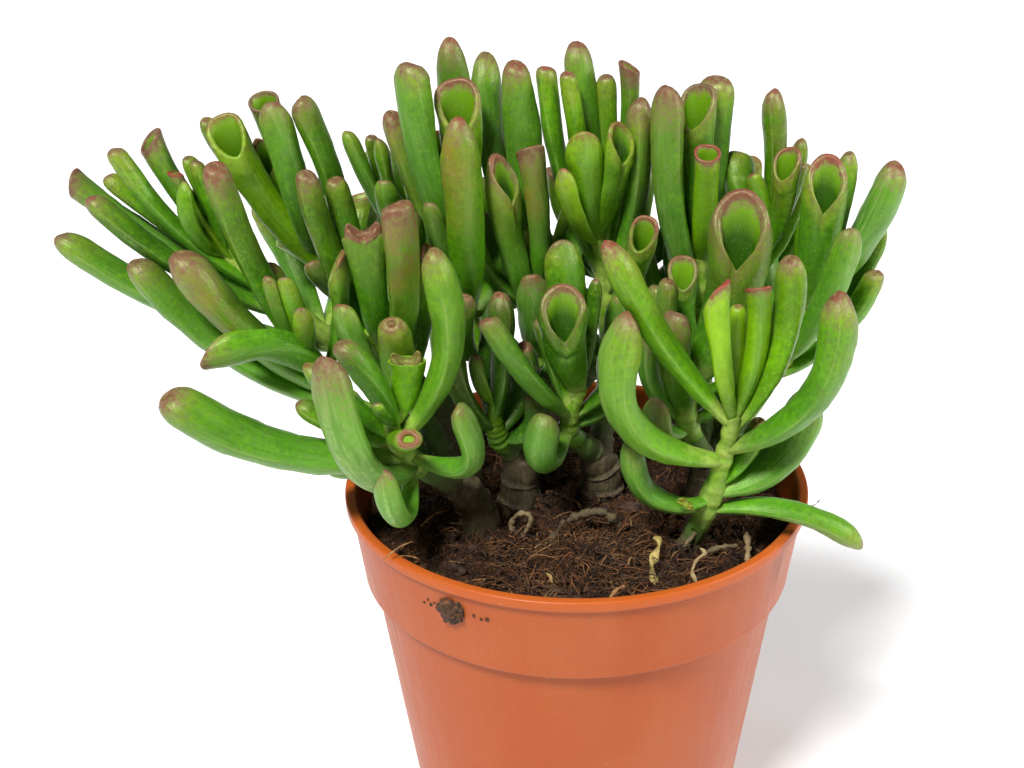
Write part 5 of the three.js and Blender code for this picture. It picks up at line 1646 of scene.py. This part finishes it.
# Height of the finished soil: the plain bed with ripples of four sizes, lower along the wall and at the left.
def bedHeight(x, y):
    flat = np.stack([x, y, np.zeros_like(x)], axis=-1)
    high = soilHeight(x, y)
    for number, (size, rise) in enumerate(soilLook["ripples"]):
        high = high + rise * ripple(flat, size, 60 + number, 12)
    heapX, heapY, heapReach, heapRise = soilLook["heap"]
    high = high + heapRise * np.exp(-((x - heapX) ** 2 + 2 * (y - heapY) ** 2) / heapReach ** 2)
    out = np.hypot(x, y) / potForm["rimRadius"]
    dip, start, over = soilLook["edgeDip"]
    high = high - dip * smooth((out - start) / over)
    dip, left, stretch, start, over = soilLook["leftDip"]
    return high - dip * smooth((-x - left) / stretch) * smooth((out - start) / over)


def soilBed():
    (wallOut, wallHigh, _), (footOut, footHigh, _) = potCorners()[-3:-1]
    gap = soilLook["wallGap"]
    wallAt = [(wallOut - gap, wallHigh), (footOut - gap, footHigh + 2 * gap)]
    brimRadius = wallAt[0][0] + potForm["slope"] * soilLook["brimRise"]
    sides, rings = soilLook["sides"], soilLook["rings"]
    turn = ringTurn(sides)
    radius = brimRadius * np.linspace(1, 1 / rings, rings)
    x, y = radius[:, None] * np.cos(turn), radius[:, None] * np.sin(turn)
    top = np.stack([x, y, bedHeight(x, y)], axis=-1)
    foot = [
        np.stack([out * np.cos(turn), out * np.sin(turn), np.full(sides, high)], axis=-1)
        for out, high in reversed(wallAt)
    ]
    ends = np.array([(0, 0, wallAt[1][1]), (0, 0, float(bedHeight(np.zeros(1), np.zeros(1))[0]))])
    return ringsPart(np.concatenate([np.stack(foot), top]), ends)


def makeSoil():
    material, tree, shader, place = startMaterial("peat")
    colours, look = soilLook["colours"], soilLook["bed"]
    coarse, fine = noises(tree, place, look, "coarse", "fine")
    threads = addNode(tree, "ShaderNodeTexWave", {"Vector": place, **look["threads"]}).outputs["Fac"]
    tone = weighed(tree, (coarse, fine), look["toneWeights"])
    colour = rampNode(tree, rangeNode(tree, tone, *look["tone"]), colours, look["tones"])
    thread = rangeNode(tree, threads, *look["thread"])
    share = times(tree, thread, rangeNode(tree, coarse, *look["threadPatch"]))
    colour = mixColour(tree, share, colour, colours["red"])
    height = weighed(tree, (fine, threads), look["heights"])
    rough = rangeNode(tree, fine, *look["rough"])
    finishShader(tree, shader, look, colour, rough, height)
    return material


# Bits that lie on the soil take their colour from a tone attribute, from black through red-brown to tan.
def makeBits():
    material, tree, shader, place = startMaterial("peat bits")
    colours, look = soilLook["colours"], soilLook["bits"]
    tone, mossy, _, _ = readAttribute(tree, "looks")
    grain = noiseNode(tree, place, *look["grain"])
    tone = plus(tree, tone, rangeNode(tree, grain, *look["shift"]))
    plain, olive = (rampNode(tree, tone, colours, look[key]) for key in ("tones", "mossy"))
    colour = mixColour(tree, mossy, plain, olive)
    finishShader(tree, shader, look, colour, rangeNode(tree, grain, *look["rough"]), grain)
    return material


def icosahedron():
    g = (1 + math.sqrt(5)) / 2
    corners = unit(np.array([
        (-1, g, 0), (1, g, 0), (-1, -g, 0), (1, -g, 0), (0, -1, g), (0, 1, g),
        (0, -1, -g), (0, 1, -g), (g, 0, -1), (g, 0, 1), (-g, 0, -1), (-g, 0, 1),
    ], float))
    faces = np.array([
        (0, 11, 5), (0, 5, 1), (0, 1, 7), (0, 7, 10), (0, 10, 11), (1, 5, 9), (5, 11, 4), (11, 10, 2),
        (10, 7, 6), (7, 1, 8), (3, 9, 4), (3, 4, 2), (3, 2, 6), (3, 6, 8), (3, 8, 9), (4, 9, 5),
        (2, 4, 11), (6, 2, 10), (8, 6, 7), (9, 8, 1),
    ])
    return corners, faces


# Each triangle into four, new corners pushed out to the unit sphere.
def splitFaces(corners, faces):
    pairs = np.sort(np.concatenate([faces[:, [0, 1]], faces[:, [1, 2]], faces[:, [2, 0]]]), axis=1)
    edges, number = np.unique(pairs, axis=0, return_inverse=True)
    number = number.reshape(3, -1).T + len(corners)
    middle = unit(corners[edges].mean(axis=1))
    a, b, c = faces.T
    ab, bc, ca = number.T
    four = ((a, ab, ca), (b, bc, ab), (c, ca, bc), (ab, bc, ca))
    made = np.concatenate([np.stack(face, axis=1) for face in four])
    return np.concatenate([corners, middle]), made


def ballForm(splits):
    corners, faces = icosahedron()
    for _ in range(splits):
        corners, faces = splitFaces(corners, faces)
    return corners, faces


# Many lumps: a ball for each place, squashed and turned, its corners moved in and out.
def lumpParts(places, sizes, tones, splits, rough, seed):
    draw = np.random.default_rng(seed)
    corners, faces = ballForm(splits)
    count = len(places)
    form = soilLook["lumpForm"]
    squash = draw.uniform(*form["squash"], (count, 1, 3))
    turn = draw.uniform(0, 2 * np.pi, count)
    shape = corners[None] * (1 + rough * (draw.random((count, len(corners), 1)) - 0.5)) * squash
    if splits:
        depth, size = form["dents"]
        shifted = corners[None] * form["ball"] + form["apart"] * draw.random((count, 1, 3))
        shape = shape * (1 + depth * ripple(shifted, size, seed))[..., None]
    cos, sin = np.cos(turn)[:, None], np.sin(turn)[:, None]
    x, y, z = shape[..., 0], shape[..., 1], shape[..., 2]
    turned = np.stack([x * cos - y * sin, x * sin + y * cos, form["flatness"] * z], axis=-1)
    points = places[:, None] + turned * sizes[:, None, None]
    numbers = faces[None] + (np.arange(count) * len(corners))[:, None, None]
    values = {"looks": np.repeat(twoValues(tones), len(corners), axis=0)}
    return {"points": points.reshape(-1, 3), "triangles": numbers.reshape(-1, 3), "values": values}


# Many threads at once: three-sided tubes of five rings, each along its own bent line.
def threadParts(starts, ways, bends, lengths, radii, tones):
    count, rings, sides = len(starts), 5, 3
    s = np.linspace(0, 1, rings)[None, :, None]
    line = starts[:, None] + (ways[:, None] * s + bends[:, None] * np.sin(np.pi * s)) * lengths[:, None, None]
    way = unit(np.gradient(line, axis=1))
    side = unit(np.cross(way, up + 0.01))
    other = np.cross(way, side)
    turn = ringTurn(sides)
    thin = radii[:, None, None, None] * (1 - 0.5 * s[..., None])
    wall = np.cos(turn)[:, None] * side[:, :, None] + np.sin(turn)[:, None] * other[:, :, None]
    tube = (line[:, :, None] + wall * thin).reshape(count, -1, 3)
    points = np.concatenate([tube, line[:, :1], line[:, -1:]], axis=1)
    size = points.shape[1]
    first = (np.arange(count) * size)[:, None, None]
    quads = (ringQuads(rings, sides)[None] + first).reshape(-1, 4)
    triangles = (endFans(rings, sides, rings * sides, rings * sides + 1)[None] + first).reshape(-1, 3)
    values = {"looks": np.repeat(twoValues(tones), size, axis=0)}
    return {"points": points.reshape(-1, 3), "quads": quads, "triangles": triangles, "values": values}


# Places on the soil, evenly spread over the circle, none of them inside a trunk.
def scatteredPlaces(count, reach, seed):
    draw = np.random.default_rng(seed)
    radius = reach * np.sqrt(draw.random(count))
    turn = draw.uniform(0, 2 * np.pi, count)
    x, y = radius * np.cos(turn), radius * np.sin(turn)
    for trunk in trunks.values():
        gx, gy, _ = trunk["ground"]
        away = np.hypot(x - gx, y - gy)
        push = np.maximum(trunk["radius"] + 1.2, away) / np.maximum(away, 0.01)
        x, y = gx + (x - gx) * push, gy + (y - gy) * push
    return np.stack([x, y, bedHeight(x, y)], axis=-1), draw


# Fine fibres, many of them on the heap. Those that would reach over the edge are turned round.
def fibresPart(reach):
    look = soilLook["fibres"]
    places, draw = scatteredPlaces(look["count"], reach - look["inset"], look["seed"])
    count = len(places)
    heapX, heapY, heapReach, _ = soilLook["heap"]
    heaped = draw.random(count) < look["heapShare"]
    spread = draw.normal(0, look["heapSpread"], (count, 2))
    gathered = spread * (heapReach, look["heapSpread"] * heapReach) + (heapX, heapY)
    near = np.hypot(gathered[:, 0], gathered[:, 1]) < reach - 2
    places[:, :2] = np.where((heaped & near)[:, None], gathered, places[:, :2])
    places[:, 2] = bedHeight(places[:, 0], places[:, 1])
    turn = draw.uniform(0, 2 * np.pi, count)
    lift = draw.normal(*look["lift"], count)
    ways = unit(np.stack([np.cos(turn), np.sin(turn), lift], axis=-1))
    bends = draw.normal(0, look["bend"], (count, 3)) + up * draw.uniform(0, look["arch"], (count, 1))
    lengths, radii = (
        mix(least, most, draw.random(count) ** few) for least, most, few in (look["length"], look["radius"])
    )
    strength, size, seed = look["patches"]
    tones = draw.normal(*look["tone"], count) + strength * ripple(places, size, seed)
    tones = np.clip(tones, *look["toneRange"])
    rise = draw.uniform(*look["height"], count) * np.where(heaped, 1, look["flatHeight"])
    starts = places + up * rise[:, None]
    ends = starts + ways * lengths[:, None]
    ways[np.hypot(ends[:, 0], ends[:, 1]) > reach] *= -1
    return threadParts(starts, ways, bends, lengths, radii, tones)


bits = makeBits()
makePiece("soil_bed", soilBed(), makeSoil(), ["soil"])
bitsReach = potForm["rimRadius"] - soilLook["inset"]
for name, look in soilLook["lumps"].items():
    places, draw = scatteredPlaces(look["count"], bitsReach - look["inset"], look["seed"])
    sizes = mix(*look["size"], draw.random(len(places)) ** look["small"])
    tones = np.clip(draw.normal(*look["tone"], len(places)), *look["toneRange"])
    part = lumpParts(places, sizes, tones, look["splits"], look["rough"], look["seed"] + 1)
    makePiece(name, part, bits, flat=not look["splits"])
makePiece("soil_fibres", fibresPart(bitsReach), bits)
print("soil laid")


# Roots, sticks and hairs that stand out from the soil, each by its radius, its tone, how mossy it is, and a
# list of places.
oddBits = {
    "curled_root": (0.6, 0.8, 0.8, (
        (-15.2, -22.7, 101), (-15.9, -21.8, 103), (-14.3, -22.5, 106), (-11.8, -23.7, 107),
        (-10.8, -24.9, 106), (-11.9, -24.6, 103), (-13.4, -24.7, 101),
    )),
    "mossy_root": (0.95, 0.5, 0.9, (
        (-8.6, -30, 100), (-3.7, -24.6, 103), (0, -23.4, 106), (6.1, -22.6, 107), (9.8, -23.1, 105),
        (11.6, -22.1, 101),
    )),
    "squiggle_root": (0.42, 0.95, 0.6, (
        (28.5, -43.5, 100), (27.6, -40.4, 101), (29, -36.6, 102), (31, -35.1, 103), (29.8, -34.4, 104),
    )),
    "tan_stick": (0.65, 0.8, 0.7, ((41.2, -34.2, 100), (41.7, -31.1, 102), (41.6, -26.9, 104))),
    "leaning_stick": (0.5, 0.66, 0.9, ((26.2, -32.4, 103), (31.4, -28.1, 108))),
    "grey_stick": (0.6, 0.62, 0.9, ((31.7, -33, 102), (35.5, -32.2, 103), (39.2, -31.8, 103))),
    "rim_fibre": (0.16, 0.85, 0.0, ((-45, -43.7, 106), (-41.5, -40.6, 107.6), (-38.2, -38.4, 108))),
    "rim_fibre_low": (0.16, 0.8, 0.0, ((-41.2, -41.9, 106), (-38.8, -41.4, 105.6), (-36.7, -40.4, 104))),
    "left_hair": (0.2, 0.85, 0.0, ((-38.5, -23.4, 103), (-35, -20.6, 105), (-31.4, -18.4, 105))),
    "yellow_bit": (0.36, 1.0, 0.0, ((-6.9, -41.1, 101), (-5.8, -43.6, 101.6), (-5.4, -45.4, 101))),
    "front_stick": (0.35, 0.8, 0.0, ((7.9, -54.6, 103), (9.6, -52, 103.6), (11.5, -49.6, 103))),
    "right_hair": (0.18, 0.9, 0.0, ((57, -19.3, 107), (58.4, -22.4, 109), (59.1, -25.2, 112))),
}


# Heights are shares of the radius, and sizes are in millimetres.
oddForm = {
    "step": 0.5, "sides": 10,
    "waves": (0.16, 2.1),  # height, and radians for each millimetre to the right
    "swellings": (0.3, 1.6), "lumps": (0.18, 1.1), "tones": (0.1, 4), "ends": (0.6, 0.35),
}


def oddPart(radius, tone, mossy, places, seed):
    path = throughPlaces(places, oddForm["step"])
    (wave, often), (swelling, swellSize), (lump, lumpSize), (change, patch) = (
        oddForm[key] for key in ("waves", "swellings", "lumps", "tones")
    )
    size = radius * (1 + wave * np.sin(path[:, 0] * often + seed) + swelling * ripple(path, swellSize, seed))
    size[[0, -1]] *= oddForm["ends"]
    looks = twoValues(tone + change * ripple(path, patch, seed + 1), mossy)
    rings = barRings(path, size, oddForm["sides"])
    rings = swollen(rings, path, lump * radius * ripple(rings, lumpSize, seed + 2))
    return ringsPart(rings, path, {"looks": looks})


odd = [oddPart(*values, 80 + 3 * i) for i, values in enumerate(oddBits.values())]
makePiece("soil_odd_bits", joinParts(odd), bits)


# A withered stalk: a twisted, flattened strip of pale yellow.
stalkLook = {
    "places": (
        (19.1, -34, 107), (19.9, -36.4, 106), (18.3, -39.9, 104), (18.1, -41.8, 101.5), (18.6, -44.9, 100.2),
    ),
    "step": 0.25, "halfWidth": 1.3,
    "swing": (0.65, 0.5, 7),  # the least share of that width, how much comes to it, and how often
    "ribs": (0.14, 3, 9),  # height, how many, and how they turn on the way
    "flatness": 0.32,
    "twist": 7.7,  # radians over its whole length
    "sides": 20, "straw": (0.50, 0.38, 0.11), "dull": (0.24, 0.18, 0.05),
    "patches": (500.0, 4.0, 0.65), "grain": (2200.0, 3.0, 0.6), "dullPatch": (0.4, 0.65),
    "rough": (0.3, 0.7, 0.45, 0.75), "relief": (0.7, 0.0005),
}


# Its section is an ellipse that turns on the way: the radius is found by the angle from the long axis.
def stalkPart():
    look = stalkLook
    path = throughPlaces(look["places"], look["step"])
    count = len(path)
    axis = path[:, None]
    spoke = barRings(path, np.ones(count), look["sides"]) - axis
    run = np.linspace(0, 1, count)[:, None]
    angle = ringTurn(look["sides"]) + look["twist"] * run
    least, more, often = look["swing"]
    wide = look["halfWidth"] * (least + more * np.sin(run * often + 1) ** 2)
    size = wide / np.sqrt(np.cos(angle) ** 2 + (np.sin(angle) / look["flatness"]) ** 2)
    rise, ribs, turning = look["ribs"]
    size = size * (1 + rise * np.sin(ribs * angle + turning * run))
    size = size * smooth(run * 12 + 0.25) * smooth((1 - run) * 9 + 0.2)
    return ringsPart(axis + spoke * size[..., None], path)


def makeStraw():
    material, tree, shader, place = startMaterial("withered stalk")
    look = stalkLook
    patches, grain = noises(tree, place, look, "patches", "grain")
    colour = mixColour(tree, rangeNode(tree, patches, *look["dullPatch"]), look["straw"], look["dull"])
    rough = rangeNode(tree, grain, *look["rough"])
    finishShader(tree, shader, look, colour, rough, plus(tree, patches, grain))
    return material


makePiece("withered_stalk", stalkPart(), makeStraw())


# Dirt stuck to the collar: one rough clod and a few specks, pressed flat on the plastic.
dirtLook = {
    "clod": (-28.6, 96.6, 3.3, 1.7),  # x, height, half width and thickness
    "specks": (
        (-35.6, 95.6, 0.35), (-34.6, 97.0, 0.3), (-33.9, 95.9, 0.45), (-33.0, 96.8, 0.3),
        (-23.4, 96.9, 0.4), (-21.6, 96.4, 0.35), (-20.2, 96.8, 0.5),
    ),
    "ball": 10,  # radius at which the lumps and tones are read
    "lumps": ((9, 0.13), (3.5, 0.1)),
    "tone": (0.4, 0.12, 4),  # with how much it changes, and over what length
    "lift": 0.1,  # how far its middle stands off the collar, in thicknesses
}


# The point of the collar's front at a given x and height, and the outward direction there.
def collarPoint(x, high):
    radius = potForm["rimRadius"] - potForm["lipStand"]
    radius -= potForm["slope"] * (potForm["height"] - potForm["lipHeight"] - high)
    y = -math.sqrt(radius ** 2 - x ** 2)
    return np.array((x, y, high)), unit(np.array((x, y, 0.0)))


def stuckLump(x, high, half, thick, splits, seed):
    at, out = collarPoint(x, high)
    side = np.cross(up, out)
    corners, faces = ballForm(splits)
    ball = corners * dirtLook["ball"]
    lumps = 1
    for number, (size, rise) in enumerate(dirtLook["lumps"]):
        lumps = lumps + rise * ripple(ball, size, seed + number, 14)
    shape = corners * lumps[:, None] * np.array((half, half * 0.95, thick))
    points = at + shape[:, :1] * side + shape[:, 1:2] * up + (shape[:, 2:] + dirtLook["lift"] * thick) * out
    tone, change, size = dirtLook["tone"]
    looks = twoValues(tone + change * ripple(ball, size, seed + 2))
    return {"points": points, "triangles": faces, "values": {"looks": looks}}


stuck = [stuckLump(*dirtLook["clod"], 4, 31)]
for index, (x, high, half) in enumerate(dirtLook["specks"]):
    stuck.append(stuckLump(x, high, half, 0.6 * half, 2, 40 + index))
makePiece("dirt_on_collar", joinParts(stuck), bits)
print("small pieces made")


# Studio: a wide white floor, a pale sky, a broad soft sun and two soft lights.
studio = {
    "floorHalf": 4.0, "floor": (0.82, 0.82, 0.82), "dimmer": 0.97, "cloud": (3.0, 2.0, 0.5),
    "shader": {
        "Roughness": 0.9,
        "Specular IOR Level": 0.1,
        "Emission Color": (1.0, 1.0, 1.0, 1.0),
        "Emission Strength": 0.24,  # so that it stays white under the plant
    },
    "sky": 0.08,  # light from the sky
    "backdrop": 1.0,  # what a camera sees of it
    "sun": {"place": (-0.34, -0.62, 1.15), "strength": 4.2, "spread": 14},
    "lights": {
        "left": {"place": (-0.9, 0.35, 0.8), "size": 0.35, "power": 1.5},
        "right": {"place": (0.95, -0.1, 0.65), "size": 0.35, "power": 7},
    },
    "aim": (0.0, 0.0, 0.12),
}


def makeFloor():
    half = studio["floorHalf"]
    mesh = bpy.data.meshes.new("floor")
    corners = [(-half, -half, 0), (half, -half, 0), (half, half, 0), (-half, half, 0)]
    mesh.from_pydata(corners, [], [(0, 1, 2, 3)])
    material, tree, shader, place = startMaterial("pale floor")
    dim = tuple(studio["dimmer"] * v for v in studio["floor"])
    colour = mixColour(tree, noiseNode(tree, place, *studio["cloud"]), dim, studio["floor"])
    tree.links.new(colour, shader.inputs["Base Color"])
    setShader(shader, studio)
    mesh.materials.append(material)
    floor = bpy.data.objects.new("floor", mesh)
    bpy.context.scene.collection.objects.link(floor)


# A lamp at a place in metres, turned to the plant.
def placeLamp(name, data, place):
    lamp = bpy.data.objects.new(name, data)
    lamp.location = place
    way = np.array(studio["aim"]) - np.array(place)
    lamp.rotation_euler = (math.atan2(math.hypot(way[0], way[1]), -way[2]), 0, math.atan2(-way[0], way[1]))
    bpy.context.scene.collection.objects.link(lamp)


def makeLights():
    sun = bpy.data.lights.new("key", "SUN")
    sun.energy = studio["sun"]["strength"]
    sun.angle = math.radians(studio["sun"]["spread"])
    placeLamp("key", sun, studio["sun"]["place"])
    for name, light in studio["lights"].items():
        data = bpy.data.lights.new(name, "AREA")
        data.energy = light["power"]
        data.shape = "DISK"
        data.size = light["size"]
        placeLamp(name, data, light["place"])


def makeSky():
    scene = bpy.context.scene
    world = scene.world or bpy.data.worlds.new("studio sky")
    scene.world = world
    world.use_nodes = True
    tree = world.node_tree
    background = tree.nodes["Background"]
    background.inputs["Color"].default_value = (1.0, 1.0, 1.0, 1.0)
    seen = tree.nodes.new("ShaderNodeLightPath").outputs["Is Camera Ray"]
    strength = rangeNode(tree, seen, 0.0, 1.0, studio["sky"], studio["backdrop"])
    tree.links.new(strength, background.inputs["Strength"])
    scene.view_settings.view_transform = "Standard"


makeFloor()
makeLights()
makeSky()
print("studio lit")
